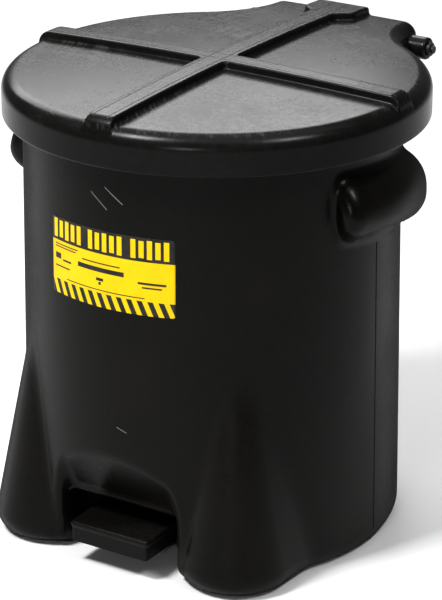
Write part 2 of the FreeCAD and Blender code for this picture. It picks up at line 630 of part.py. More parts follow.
def hex_nut(low_z):
    radius = 8.0
    corners = [(radius * math.cos(math.radians(60 * k)), ROD_Y + radius * math.sin(math.radians(60 * k)), low_z)
               for k in range(6)]
    nut = polygon(corners).extrude(Vector(0, 0, NUT_HEIGHT))
    return nut.cut(z_cylinder(ROD_RADIUS + RUNNING_GAP, low_z - 1, low_z + NUT_HEIGHT + 1, 0, ROD_Y))


def rod_jam_nuts():
    low = REAR_PIN_Z + ROD_SOCKET_LENGTH + 0.1
    high = LIFT_PIN_Z - ROD_SOCKET_LENGTH - NUT_HEIGHT - 0.1
    return [hex_nut(low), hex_nut(high)]


# ---------------------------------------------------------------- pedal and lever

def pedal_lever():
    """Two steel bars under a pedal plate; they pass below the can to the rod at the back."""
    plate_z = PEDAL_TOP_Z - 4.2
    plate_low = plate_z - PLATE_THICKNESS
    front = PEDAL_FRONT_Y + PLATE_MARGIN
    back = PEDAL_FRONT_Y + PEDAL_DEPTH
    half = LEVER_BAR_HEIGHT / 2
    bar = polygon([
        (LEVER_INNER_X, front + 4, plate_low + 0.5), (LEVER_INNER_X, back, plate_low + 0.5),
        (LEVER_INNER_X, AXLE_Y - 18, AXLE_Z + half + 2), (LEVER_INNER_X, AXLE_Y + 12, AXLE_Z + half + 2),
        (LEVER_INNER_X, ROD_Y + 2, REAR_PIN_Z + half), (LEVER_INNER_X, ROD_Y + 8, REAR_PIN_Z + 3),
        (LEVER_INNER_X, ROD_Y + 8, REAR_PIN_Z - 4), (LEVER_INNER_X, ROD_Y + 2, REAR_PIN_Z - half),
        (LEVER_INNER_X, AXLE_Y + 12, AXLE_Z - half - 3), (LEVER_INNER_X, AXLE_Y - 18, AXLE_Z - half - 3),
        (LEVER_INNER_X, back, plate_low - 11), (LEVER_INNER_X, front + 4, plate_low - 6),
    ]).extrude(Vector(LEVER_BAR_THICKNESS, 0, 0))
    plate = box(-PLATE_HALF_WIDTH, PLATE_HALF_WIDTH, front, back, plate_low, plate_z)
    frame = fuse_all([plate] + both_sides(bar))
    tube_hole = x_cylinder(AXLE_RADIUS + TUBE_WALL + 0.02, -30, 30, AXLE_Y, AXLE_Z)
    pin_hole = x_cylinder(REAR_PIN_RADIUS + SCREW_GAP, -30, 30, ROD_Y, REAR_PIN_Z)
    holes = [screw_hole((x, y, plate_low - 1), (0, 0, 1), 5.0) for x, y in pedal_screw_places()]
    return frame.cut([tube_hole, pin_hole] + holes)


def pedal_screw_places():
    return [(x, PEDAL_FRONT_Y + y) for x in (-26.0, 26.0) for y in (20.0, 50.0)]


def pedal_screws():
    seat_z = PEDAL_TOP_Z - 4.2 - PLATE_THICKNESS
    return [screw((x, y, seat_z), (0, 0, 1), PLATE_THICKNESS + 3.0) for x, y in pedal_screw_places()]


def foot_pedal():
    """The moulded pedal pad: a cap over the plate, open below and behind."""
    low = PEDAL_TOP_Z - PEDAL_HEIGHT
    back = PEDAL_FRONT_Y + PEDAL_DEPTH
    block = box(-PEDAL_HALF_WIDTH, PEDAL_HALF_WIDTH, PEDAL_FRONT_Y, back, low, PEDAL_TOP_Z)
    block = fillet_where(block, PEDAL_EDGE, lambda e: e.BoundBox.YMax < back - 1 or e.BoundBox.ZMin > low + 1)
    wall = 4.0
    hollow = box(-PEDAL_HALF_WIDTH + wall, PEDAL_HALF_WIDTH - wall, PEDAL_FRONT_Y + wall, back + 1,
                 low - 1, PEDAL_TOP_Z - wall)
    seat_z = PEDAL_TOP_Z - wall
    holes = [screw_hole((x, y, seat_z - 1), (0, 0, 1), 4.0) for x, y in pedal_screw_places()]
    return block.cut([hollow] + holes)


def pivot_tube():
    end = BRACKET_INNER_X - 0.5
    return ring(AXLE_RADIUS + TUBE_WALL, AXLE_RADIUS + RUNNING_GAP, -end, end, AXLE_Y, AXLE_Z)


def pedal_axle():
    end = BRACKET_INNER_X + BRACKET_SHEET + NUT_THICKNESS + 1.5
    return x_cylinder(AXLE_RADIUS, -end, end, AXLE_Y, AXLE_Z)


def axle_screw_places():
    x = BRACKET_INNER_X + 12.0
    seat_z = UNDERSIDE_Z - BRACKET_SHEET
    return [(side * x, AXLE_Y + step, seat_z) for side in (-1, 1) for step in (-10.0, 10.0)]


def axle_bracket():
    """The right bracket: an angle screwed to the raised bottom, with a hole for the axle."""
    half = BRACKET_WIDTH / 2
    inner, outer = BRACKET_INNER_X, BRACKET_INNER_X + BRACKET_SHEET
    flange = box(inner, inner + 20, AXLE_Y - half, AXLE_Y + half, UNDERSIDE_Z - BRACKET_SHEET, UNDERSIDE_Z - 0.02)
    web = polygon([
        (inner, AXLE_Y - half, UNDERSIDE_Z - 1), (inner, AXLE_Y + half, UNDERSIDE_Z - 1),
        (inner, AXLE_Y + 10, AXLE_Z - 8), (inner, AXLE_Y - 10, AXLE_Z - 8),
    ]).extrude(Vector(outer - inner, 0, 0))
    angle = fuse_all([flange, web])
    axle_hole = x_cylinder(AXLE_RADIUS + SCREW_GAP, inner - 5, outer + 5, AXLE_Y, AXLE_Z)
    holes = [screw_hole((x, y, z - 1), (0, 0, 1), 5.0) for x, y, z in axle_screw_places() if x > 0]
    return angle.cut([axle_hole] + holes)


def axle_bracket_screws():
    return [screw(place, (0, 0, 1), AXLE_SCREW_LENGTH) for place in axle_screw_places()]


def rear_pin():
    pin = headed_pin(REAR_PIN_RADIUS, LEVER_OUT + 0.3, ROD_Y, REAR_PIN_Z)
    tip = x_cylinder(REAR_PIN_RADIUS, -LEVER_OUT - 4.0, 0, ROD_Y, REAR_PIN_Z)
    return pin.fuse(tip).removeSplitter()


def rear_pin_clip():
    outer_x = -LEVER_OUT - 0.5
    return ring(REAR_PIN_RADIUS + 2.6, REAR_PIN_RADIUS + 0.02, outer_x - 1.4, outer_x, ROD_Y, REAR_PIN_Z)


def rear_pin_spacers():
    inner_x = ROD_EYE_WIDTH / 2 + 0.3
    spacer = ring(REAR_PIN_RADIUS + 3.0, REAR_PIN_RADIUS + RUNNING_GAP, inner_x, LEVER_INNER_X - 0.1,
                  ROD_Y, REAR_PIN_Z)
    return both_sides(spacer)


# ---------------------------------------------------------------- rod guide and label

def guide_face_y():
    return BODY_Y + body_radius_at(GUIDE_Z - 20) + 0.1


def guide_screw_places():
    y = guide_face_y() + GUIDE_SHEET
    return [(0, y, GUIDE_Z + rise) for rise in (-GUIDE_SCREW_RISE, GUIDE_SCREW_RISE)]


def rod_guide():
    """An angle on the can's back with a slotted hole that keeps the rod upright."""
    face = guide_face_y()
    half_sheet = GUIDE_SHEET / 2
    flange = box(-15, 15, face, face + GUIDE_SHEET, GUIDE_Z - 20, GUIDE_Z + 20)
    tab = box(-12, 12, face, ROD_Y + 12, GUIDE_Z - half_sheet, GUIDE_Z + half_sheet)
    radius = ROD_RADIUS + 0.6
    slot_ends = [z_cylinder(radius, GUIDE_Z - 5, GUIDE_Z + 5, 0, ROD_Y + side * GUIDE_SLOT_HALF) for side in (-1, 1)]
    slot_middle = box(-radius, radius, ROD_Y - GUIDE_SLOT_HALF, ROD_Y + GUIDE_SLOT_HALF, GUIDE_Z - 5, GUIDE_Z + 5)
    holes = [screw_hole((x, y + 1, z), (0, -1, 0), 6.0) for x, y, z in guide_screw_places()]
    return fuse_all([flange, tab]).cut(slot_ends + [slot_middle] + holes)


def rod_guide_screws():
    return [screw(place, (0, -1, 0), GUIDE_SCREW_LENGTH) for place in guide_screw_places()]


def front_label():
    """A thin sticker that follows the front of the can."""
    bottom_z = LABEL_TOP_Z - LABEL_HEIGHT
    gap = 0.05

    def cone(extra):
        return Part.makeCone(body_radius_at(bottom_z) + extra, body_radius_at(LABEL_TOP_Z) + extra,
                             LABEL_HEIGHT, Vector(0, BODY_Y, bottom_z))

    band = cone(gap + LABEL_THICKNESS).cut(cone(gap))
    half = math.sin(LABEL_WIDTH / 2 / BODY_TOP_RADIUS) * BODY_TOP_RADIUS
    return band.common(box(-half, half, BODY_Y - 250, BODY_Y - 50, bottom_z, LABEL_TOP_Z))


# ---------------------------------------------------------------- all nodes

def export(node, shapes):
    """Writes one node; several shapes stay separate solids in it."""
    shape = shapes if isinstance(shapes, Part.Shape) else Part.makeCompound(shapes)
    shape.exportStep(os.path.join("parts", node + ".step"))
    print(node, "solids", len(shape.Solids), "valid", shape.isValid(), "cm3", round(shape.Volume / 1000, 2))


def main():
    os.makedirs("parts", exist_ok=True)
    hinge_nut = push_nut(HINGE_ROD_RADIUS, HINGE_BOSS_END_X + 0.4, HINGE_Y, HINGE_Z)
    axle_nut = push_nut(AXLE_RADIUS, BRACKET_INNER_X + BRACKET_SHEET + 0.3, AXLE_Y, AXLE_Z)
    right_bracket = axle_bracket()
    right_bush = hinge_bush()
    export("body_shell", body_shell())
    export("front_label", front_label())
    export("hinge_rod", hinge_rod())
    export("hinge_rod_push_nuts", both_sides(hinge_nut))
    export("axle_bracket_right", right_bracket)
    export("axle_bracket_left", mirrored(right_bracket))
    export("axle_bracket_screws", axle_bracket_screws())
    export("pedal_axle", pedal_axle())
    export("pedal_axle_push_nuts", both_sides(axle_nut))
    export("rod_guide", rod_guide())
    export("rod_guide_screws", rod_guide_screws())
    export("lid_shell", lid_shell())
    export("hinge_bush_right", right_bush)
    export("hinge_bush_left", mirrored(right_bush))
    export("lift_bracket", lift_bracket())
    export("lift_bracket_screws", lift_bracket_screws())
    export("lift_pin", lift_pin())
    export("lift_pin_clip", lift_pin_clip())
    export("foot_pedal", foot_pedal())
    export("pedal_screws", pedal_screws())
    export("pedal_lever", pedal_lever())
    export("pivot_tube", pivot_tube())
    export("lever_rear_pin", rear_pin())
    export("lever_rear_pin_clip", rear_pin_clip())
    export("lever_rear_pin_spacers", rear_pin_spacers())
    export("lift_rod", lift_rod())
    export("upper_rod_eye", upper_rod_eye())
    export("lower_rod_eye", lower_rod_eye())
    export("rod_jam_nuts", rod_jam_nuts())


main()
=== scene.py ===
"""Looks of the foot-operated oily waste can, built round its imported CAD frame.

The two moulded shells and the pedal are modelled as distance fields in millimetres,
in the frame of the part: +Z is up, the pedal is at -Y. A field is negative inside the plastic.
Their surfaces are then meshed on a grid and moved onto the field's exact zero surface.
"""

import json
import math

import bmesh
import bpy
import numpy as np
from mathutils import Matrix, Vector


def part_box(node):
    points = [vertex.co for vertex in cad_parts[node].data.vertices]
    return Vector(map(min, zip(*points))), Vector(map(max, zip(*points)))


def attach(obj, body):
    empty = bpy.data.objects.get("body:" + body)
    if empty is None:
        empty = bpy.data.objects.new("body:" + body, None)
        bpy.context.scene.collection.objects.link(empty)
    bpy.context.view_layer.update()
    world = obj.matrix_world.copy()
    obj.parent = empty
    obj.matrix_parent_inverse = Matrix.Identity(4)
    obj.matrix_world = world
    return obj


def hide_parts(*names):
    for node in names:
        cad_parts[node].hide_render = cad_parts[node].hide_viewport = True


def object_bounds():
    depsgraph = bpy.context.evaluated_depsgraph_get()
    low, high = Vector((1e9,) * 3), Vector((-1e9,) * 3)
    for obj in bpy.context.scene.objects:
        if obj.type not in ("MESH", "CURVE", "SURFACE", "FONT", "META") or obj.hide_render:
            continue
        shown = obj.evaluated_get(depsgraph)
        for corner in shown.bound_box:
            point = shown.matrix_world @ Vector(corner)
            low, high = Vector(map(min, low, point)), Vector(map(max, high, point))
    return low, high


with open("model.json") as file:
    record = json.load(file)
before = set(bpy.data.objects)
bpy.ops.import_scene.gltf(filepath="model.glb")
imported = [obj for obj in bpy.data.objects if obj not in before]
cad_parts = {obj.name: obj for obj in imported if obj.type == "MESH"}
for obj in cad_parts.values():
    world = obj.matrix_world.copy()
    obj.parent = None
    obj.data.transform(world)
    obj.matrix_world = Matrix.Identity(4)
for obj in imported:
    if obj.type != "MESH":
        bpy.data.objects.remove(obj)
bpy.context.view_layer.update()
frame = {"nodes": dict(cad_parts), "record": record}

MM = 0.001
LOW, HIGH = [Vector(corner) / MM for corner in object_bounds()]

# ---- lid, in millimetres ----
LID_RADIUS = 209.5
LID_TOP_Z = 465.0
LID_SKIRT_Z = 421.6
LID_CROWN_RADIUS = 5200.0
LID_EDGE_RADIUS = 15.0
TONGUE_WAIST_RADIUS = 89.0
TONGUE_HALF_WIDTH = 86.0
TONGUE_CORNER_RADIUS = 16.0
TONGUE_BACK_Y = HIGH.y
LID_Y = LOW.y + LID_RADIUS
RIB_CROSSING_Y = LID_Y + 4.0
RIB_HEIGHT = 8.0
RIB_EDGE_ROUNDING = 1.9
RIB_FOOT_BLEND = 2.6
RIB_CROSSING_BLEND = 5.0
RIB_END_Z = LID_SKIRT_Z + 12.0
RIB_END_ROUNDING = 2.0
RIB_DRAFT = 2.6 / 23.0          # how far a rib's side leans out for each mm down
LONG_RIB_HALF_WIDTH = 13.2
CROSS_RIB_HALF_WIDTH = 11.4
RIB_END_INSET = 2.5
BLOCK_HALF_WIDTH = 28.5         # the wide rear end of the long rib
BLOCK_CORNER_RADIUS = 5.0
BLOCK_BACK_Y = TONGUE_BACK_Y - 9.0
BLOCK_FLARE_END = BLOCK_BACK_Y - 31.0
BLOCK_FLARE_LENGTH = 20.0
SKIRT_EDGE_BLEND = 2.4
LID_INNER_BLEND = 1.5

# ---- can ----
WALL = 4.6
RIM_BLEND = 1.5
BODY_Y = LID_Y - 8.6
BODY_TOP_RADIUS = 184.0
BODY_BASE_RADIUS = 189.5
BASE_ROUNDING = 18.0
RIM_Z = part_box("body_shell")[1].z / MM
UNDERSIDE_Z = 63.0
UNDERSIDE_RADIUS = 148.0
UNDERSIDE_ROUNDING = 4.0
REAR_SLOT_HALF_WIDTH = 22.0
REAR_SLOT_TOP_Z = 84.0
REAR_SLOT_OVERLAP = 20.0        # how far the slot reaches into the round space below the bottom

# ---- feet, alcove and handles ----
FOOT_TOE = (109.0, LID_Y - LID_RADIUS + 73.0)
FOOT_TOE_RADIUS = 61.0
FOOT_TOE_TOP = (103.5, BODY_Y - 119.5)
FOOT_TOE_TOP_RADIUS = 26.0
FOOT_HEEL = (110.0, BODY_Y - 45.0)
FOOT_HEEL_RADIUS = 62.0
FOOT_HEEL_TOP_RADIUS = 52.0
FOOT_TOP_Z = 222.0
FOOT_TAPER_END = 1.6            # the taper stops at this many times the height of the top
FOOT_BLEND = 4.5
FOOT_ROUNDING = 23.0            # bottom edge of the feet, where the rest of the can has BASE_ROUNDING
ROUNDING_CHANGE = 30.0          # stretch over which one rounding changes into the other
ALCOVE_HALF_WIDTH = 70.0
ALCOVE_TOP_Z = 124.0
ALCOVE_BACK_HALF_WIDTH = 64.0
ALCOVE_BACK_TOP_Z = 71.0
ALCOVE_DEPTH = 27.0
ALCOVE_CORNER_RADIUS = 12.0
ALCOVE_BACK_ROUNDING = 2.0
ALCOVE_EDGE_HEIGHTS = (60.0, 108.0)
ALCOVE_EDGE_BLENDS = (14.0, 3.5)    # the front edge is soft low on the feet and crisp at the roof
HANDLE_REACH = 27.0
HANDLE_ROOT_DEPTH = 10.0        # how far the ledge reaches into the wall behind it
HANDLE_TOP_Z = 402.0
HANDLE_EDGE_TOP_Z = 385.0
HANDLE_EDGE_BOTTOM_Z = 353.0
HANDLE_BOTTOM_Z = 335.0
HANDLE_TOP_FALL = 10.0          # how much lower the ledge's top is at its rear end
HANDLE_BOTTOM_FALL = 22.0       # and the same for its bottom, so that it is deeper there
HANDLE_FRONT_ANGLE = math.radians(20.0)
HANDLE_REAR_ANGLE = math.radians(30.0)
HANDLE_END = math.radians(8.0)  # solid stretch at each end of the finger pocket
HANDLE_POCKET_TOP_Z = 366.0
HANDLE_POCKET_WALL = 7.0
HANDLE_POCKET_GAP = 3.0         # plastic between the finger pocket and the wall
HANDLE_OUTER_BLEND = 20.0
HANDLE_LOWER_BLEND = 12.0
HANDLE_FRONT_BLEND = 20.0
HANDLE_REAR_BLEND = 26.0
HANDLE_ROOT_BLEND = 6.0
POCKET_BLEND = 3.0
POCKET_END_BLEND = 4.0

# ---- hinge ----
HINGE_Y = TONGUE_BACK_Y - 23.0
HINGE_Z = 437.5
HINGE_BOSS_RADIUS = 11.5
HINGE_BOSS_END_X = 107.0
HINGE_BOSS_ROUNDING = 3.0
EAR_INNER_X = 40.0
EAR_OUTER_X = 60.0
EAR_ROUNDING = 2.5
EAR_ROOT_BLEND = 4.0
BUSH_RADIUS = 6.0
BUSH_GAP = 0.05
BORE_EDGE_BLEND = 0.8

# ---- meshing ----
CAN_STEP = 2.4
LID_STEP = 1.4
PEDAL_STEP = 1.1
MOST_TRIANGLES = 190_000
SHARP_BEND = math.radians(1.8)  # from one grid point to the next
RINGS_KEPT = 3                  # of points round a sharp bend that are never thinned out
SLOPE_REACH = 0.05
WEAK_SLOPE = 0.3                # squared: less than this is a ridge or a hollow of the field


# ---------------------------------------------------------------- distance fields

def soft_min(a, b, blend):
    """The union of two regions, with a soft fillet where they meet."""
    share = np.clip(0.5 + 0.5 * (b - a) / blend, 0.0, 1.0)
    return b + (a - b) * share - blend * share * (1.0 - share)


def soft_max(a, b, blend):
    """The part that two regions have in common, with a softened edge."""
    return -soft_min(-a, -b, blend)


def round_max(a, b, radius):
    """The part that two regions have in common, with its edge rounded to a radius."""
    over_a = a + radius
    over_b = b + radius
    outside = np.hypot(np.maximum(over_a, 0.0), np.maximum(over_b, 0.0))
    return np.minimum(np.maximum(over_a, over_b), 0.0) + outside - radius


def convex(points, u, v):
    """A convex outline, given counter-clockwise."""
    result = None
    for (u0, v0), (u1, v1) in zip(points, points[1:] + points[:1]):
        length = math.hypot(u1 - u0, v1 - v0)
        edge = ((u - u0) * (v1 - v0) - (v - v0) * (u1 - u0)) / length
        result = edge if result is None else np.maximum(result, edge)
    return result


def mix(start, end, share):
    """The value that lies a share of the way from the start to the end."""
    return start + (end - start) * share


def drum_radius(z):
    """The outer radius of the round wall, which narrows slightly upwards."""
    return mix(BODY_BASE_RADIUS, BODY_TOP_RADIUS, z / RIM_Z)


def feet_side(x, y, z):
    """The side of both feet: each fills a front corner at the floor and tapers into the can upwards."""
    share = np.minimum(z / FOOT_TOP_Z, FOOT_TAPER_END)
    toe_x = mix(FOOT_TOE[0], FOOT_TOE_TOP[0], share)
    toe_y = mix(FOOT_TOE[1], FOOT_TOE_TOP[1], share)
    toe_radius = mix(FOOT_TOE_RADIUS, FOOT_TOE_TOP_RADIUS, share)
    heel_radius = mix(FOOT_HEEL_RADIUS, FOOT_HEEL_TOP_RADIUS, share)
    across_x, across_y = np.abs(x) - toe_x, y - toe_y
    to_heel_x, to_heel_y = FOOT_HEEL[0] - toe_x, FOOT_HEEL[1] - toe_y
    length = np.hypot(to_heel_x, to_heel_y)
    along = (across_x * to_heel_x + across_y * to_heel_y) / length
    across = np.abs(across_x * to_heel_y - across_y * to_heel_x) / length
    lean = (toe_radius - heel_radius) / length
    upright = np.sqrt(1.0 - lean ** 2)
    place = upright * along - lean * across
    side = upright * across + lean * along - toe_radius
    at_heel = np.hypot(across, along - length) - heel_radius
    return np.where(place < 0.0, np.hypot(across, along) - toe_radius,
                    np.where(place > upright * length, at_heel, side))


def alcove(x, y, z):
    """The toe space over the pedal: its flat roof slopes down and back to the raised bottom."""
    depth = (y - (BODY_Y - drum_radius(ALCOVE_TOP_Z))) / ALCOVE_DEPTH
    roof_slope = (ALCOVE_TOP_Z - ALCOVE_BACK_TOP_Z) / ALCOVE_DEPTH
    side = np.abs(x) - mix(ALCOVE_HALF_WIDTH, ALCOVE_BACK_HALF_WIDTH, depth)
    roof = (z - mix(ALCOVE_TOP_Z, ALCOVE_BACK_TOP_Z, depth)) / math.hypot(1.0, roof_slope)
    back = (depth - 1.0) * ALCOVE_DEPTH
    return round_max(round_max(side, roof, ALCOVE_CORNER_RADIUS), back, ALCOVE_BACK_ROUNDING)


def underside(x, y, z):
    """The space below the raised bottom, open to the front, with a slot at the back for the lever."""
    pocket = np.hypot(x, y - BODY_Y) - UNDERSIDE_RADIUS
    passage = np.maximum(np.abs(x) - ALCOVE_BACK_HALF_WIDTH, y - BODY_Y)
    slot = np.maximum(np.abs(x) - REAR_SLOT_HALF_WIDTH, BODY_Y + UNDERSIDE_RADIUS - REAR_SLOT_OVERLAP - y)
    below = round_max(np.minimum(pocket, passage), z - UNDERSIDE_Z, UNDERSIDE_ROUNDING)
    return np.minimum(below, round_max(slot, z - REAR_SLOT_TOP_Z, UNDERSIDE_ROUNDING))


def can_form(x, y, z):
    """The outside of the can, without its handles and ears and with no top end."""
    drum_side = np.hypot(x, y - BODY_Y) - drum_radius(z)
    feet = feet_side(x, y, z)
    form = soft_min(drum_side, feet, FOOT_BLEND)
    on_foot = np.clip(0.5 + (drum_side - feet) / ROUNDING_CHANGE, 0.0, 1.0)
    form = round_max(form, -z, mix(BASE_ROUNDING, FOOT_ROUNDING, on_foot))
    edge_blend = np.interp(z, ALCOVE_EDGE_HEIGHTS, ALCOVE_EDGE_BLENDS)
    form = soft_max(form, -alcove(x, y, z), edge_blend)
    return soft_max(form, -underside(x, y, z), UNDERSIDE_ROUNDING)


def handle(x, y, z):
    """Both side handles: a ledge that follows the wall, with a finger pocket below."""
    radius = np.hypot(x, y - BODY_Y)
    angle = np.arctan2(y - BODY_Y, np.abs(x))
    reach = BODY_TOP_RADIUS + HANDLE_REACH
    root = BODY_TOP_RADIUS - HANDLE_ROOT_DEPTH
    to_rear = np.clip((angle + HANDLE_FRONT_ANGLE) / (HANDLE_FRONT_ANGLE + HANDLE_REAR_ANGLE), 0.0, 1.0)
    over = z + HANDLE_TOP_FALL * to_rear
    under = z + HANDLE_BOTTOM_FALL * to_rear
    upper = convex([(root, 0.0), (reach + 20.0, 0.0), (reach + 20.0, HANDLE_EDGE_TOP_Z - 14.0),
                    (reach, HANDLE_EDGE_TOP_Z), (root, HANDLE_TOP_Z + 8.0)], radius, over)
    lower_slope = (HANDLE_EDGE_BOTTOM_Z - HANDLE_BOTTOM_Z) / HANDLE_REACH
    lower = mix(HANDLE_BOTTOM_Z, HANDLE_EDGE_BOTTOM_Z, (radius - BODY_TOP_RADIUS) / HANDLE_REACH) - under
    lower = lower / math.hypot(1.0, lower_slope)
    front = (-HANDLE_FRONT_ANGLE - angle) * radius
    rear = (angle - HANDLE_REAR_ANGLE) * radius
    ledge = soft_max(soft_max(upper, radius - reach, HANDLE_OUTER_BLEND), lower, HANDLE_LOWER_BLEND)
    ledge = soft_max(soft_max(ledge, front, HANDLE_FRONT_BLEND), rear, HANDLE_REAR_BLEND)
    inner = BODY_TOP_RADIUS + HANDLE_POCKET_GAP - radius
    outer = radius - (reach - HANDLE_POCKET_WALL)
    ends = HANDLE_END * radius
    pocket = soft_max(np.maximum(inner, outer), over - HANDLE_POCKET_TOP_Z, POCKET_BLEND)
    pocket = soft_max(soft_max(pocket, front + ends, POCKET_END_BLEND), rear + ends, POCKET_END_BLEND)
    return soft_max(ledge, -pocket, POCKET_BLEND)


def hinge_ears(x, y, z):
    """The two ears at the can's rear that carry the hinge rod."""
    wall_y = BODY_Y + math.sqrt(BODY_TOP_RADIUS ** 2 - EAR_OUTER_X ** 2) - WALL / 2
    reach = HINGE_Y - wall_y
    outline = convex([
        (wall_y - 6.0, HINGE_Z - reach - 12.0),
        (HINGE_Y - 7.0, HINGE_Z - HINGE_BOSS_RADIUS + 2.0),
        (HINGE_Y + 2.0, HINGE_Z),
        (HINGE_Y, HINGE_Z + HINGE_BOSS_RADIUS - 1.0),
        (wall_y - 6.0, HINGE_Z + 9.0),
    ], y, z)
    boss = np.hypot(y - HINGE_Y, z - HINGE_Z) - HINGE_BOSS_RADIUS
    middle_x = (EAR_INNER_X + EAR_OUTER_X) / 2
    thickness = np.abs(np.abs(x) - middle_x) - (EAR_OUTER_X - EAR_INNER_X) / 2
    return round_max(np.minimum(outline, boss), thickness, EAR_ROUNDING)


def can_field(x, y, z):
    """The whole can: its form with handles and ears, cut off at the rim and hollowed to the wall."""
    form = can_form(x, y, z)
    outside = soft_min(form, handle(x, y, z), HANDLE_ROOT_BLEND)
    outside = soft_min(outside, hinge_ears(x, y, z), EAR_ROOT_BLEND)
    outside = soft_max(outside, z - RIM_Z, RIM_BLEND)
    return soft_max(outside, -(form + WALL), RIM_BLEND)


def lid_outline(x, y):
    """The teardrop outline: a circle joined to a tongue by hollow curves."""
    side_x = np.abs(x)
    circle = np.hypot(x, y - LID_Y) - LID_RADIUS
    tongue = round_max(side_x - TONGUE_HALF_WIDTH, y - TONGUE_BACK_Y, TONGUE_CORNER_RADIUS)
    waist_x = TONGUE_HALF_WIDTH + TONGUE_WAIST_RADIUS
    waist_y = LID_Y + math.sqrt((LID_RADIUS + TONGUE_WAIST_RADIUS) ** 2 - waist_x ** 2)
    waist = TONGUE_WAIST_RADIUS - np.hypot(side_x - waist_x, y - waist_y)
    past_circle = (side_x - waist_x) * (waist_y - LID_Y) - (y - waist_y) * waist_x < 0.0
    in_waist = past_circle & (y < waist_y) & (side_x < waist_x)
    tongue = np.where(y > LID_Y, tongue, circle)
    return np.where(in_waist, waist, np.minimum(circle, tongue))


def dome_fall(x, y):
    """How far the lid's crown lies below its highest point."""
    return (x ** 2 + (y - RIB_CROSSING_Y) ** 2) / (2.0 * LID_CROWN_RADIUS)


def lid_form(x, y, z, inset):
    """The lid's outside without ribs, moved in by an inset, with no lower end."""
    top = z - (LID_TOP_Z - dome_fall(x, y)) + inset
    return round_max(lid_outline(x, y) + inset, top, LID_EDGE_RADIUS - inset)


def lid_ribs(x, y, z):
    """The crossed ribs with their leaning sides, the long one flaring into the block at the rear."""
    top_z = LID_TOP_Z + RIB_HEIGHT + 1.0
    draft = RIB_DRAFT * (top_z - z)
    cross = np.abs(y - RIB_CROSSING_Y) - CROSS_RIB_HALF_WIDTH - draft
    flare = np.clip((y - (BLOCK_FLARE_END - BLOCK_FLARE_LENGTH)) / BLOCK_FLARE_LENGTH, 0.0, 1.0)
    flare = flare * flare * (3.0 - 2.0 * flare)
    long_rib = np.abs(x) - mix(LONG_RIB_HALF_WIDTH, BLOCK_HALF_WIDTH, flare) - draft
    long_rib = round_max(long_rib, y - BLOCK_BACK_Y - draft, BLOCK_CORNER_RADIUS)
    bars = soft_min(cross, long_rib, RIB_CROSSING_BLEND)
    top = z - (LID_TOP_Z + RIB_HEIGHT - dome_fall(x, y))
    cap = round_max(lid_outline(x, y) + RIB_END_INSET, top, LID_EDGE_RADIUS - RIB_END_INSET)
    return round_max(round_max(bars, cap, RIB_EDGE_ROUNDING), RIB_END_Z - z, RIB_END_ROUNDING)


def lid_bosses(x, y, z):
    """The round bosses on both sides of the tongue, which the hinge rod goes through."""
    barrel = np.hypot(y - HINGE_Y, z - HINGE_Z) - HINGE_BOSS_RADIUS
    barrel = round_max(barrel, np.abs(x) - HINGE_BOSS_END_X, HINGE_BOSS_ROUNDING)
    return np.maximum(barrel, TONGUE_HALF_WIDTH - WALL + 0.5 - np.abs(x))


def lid_field(x, y, z):
    """The whole lid: its form with ribs and bosses, hollowed to the wall, with the hinge bore."""
    outside = soft_min(lid_form(x, y, z, 0.0), lid_ribs(x, y, z), RIB_FOOT_BLEND)
    outside = soft_max(outside, LID_SKIRT_Z - z, SKIRT_EDGE_BLEND)
    outside = soft_min(outside, lid_bosses(x, y, z), HINGE_BOSS_ROUNDING)
    bore = np.hypot(y - HINGE_Y, z - HINGE_Z) - BUSH_RADIUS - BUSH_GAP
    shell = soft_max(outside, -lid_form(x, y, z, WALL), LID_INNER_BLEND)
    return soft_max(shell, -bore, BORE_EDGE_BLEND)


# ---------------------------------------------------------------- from field to mesh

def slopes(field, points):
    """The field's value and slope at each point."""
    slope = np.empty_like(points)
    for axis in range(3):
        step = np.zeros(3)
        step[axis] = SLOPE_REACH
        ahead = field(*(points + step).T)
        behind = field(*(points - step).T)
        slope[:, axis] = (ahead - behind) / (2.0 * SLOPE_REACH)
    return field(*points.T), slope


def settle(field, points, step, rounds=5):
    """Moves points along the field's slope until they lie on its surface.

    A point where the slope is weak stays, because its direction there can't be trusted.
    """
    for _ in range(rounds):
        value, slope = slopes(field, points)
        steep = (slope ** 2).sum(1)
        move = np.clip(value / np.maximum(steep, WEAK_SLOPE), -step, step) * (steep > WEAK_SLOPE)
        points = points - slope * move[:, None]
    _, slope = slopes(field, points)
    normals = slope / np.maximum(np.linalg.norm(slope, axis=1), 1e-6)[:, None]
    return points, normals


def sampled(field, axes):
    """The field on a grid, worked out slab by slab."""
    values = np.empty([len(a) for a in axes], np.float32)
    slab = 24
    for start in range(0, len(axes[2]), slab):
        part = slice(start, start + slab)
        x, y, z = np.meshgrid(axes[0], axes[1], axes[2][part], indexing="ij", sparse=True)
        values[:, :, part] = field(x, y, z)
    return values


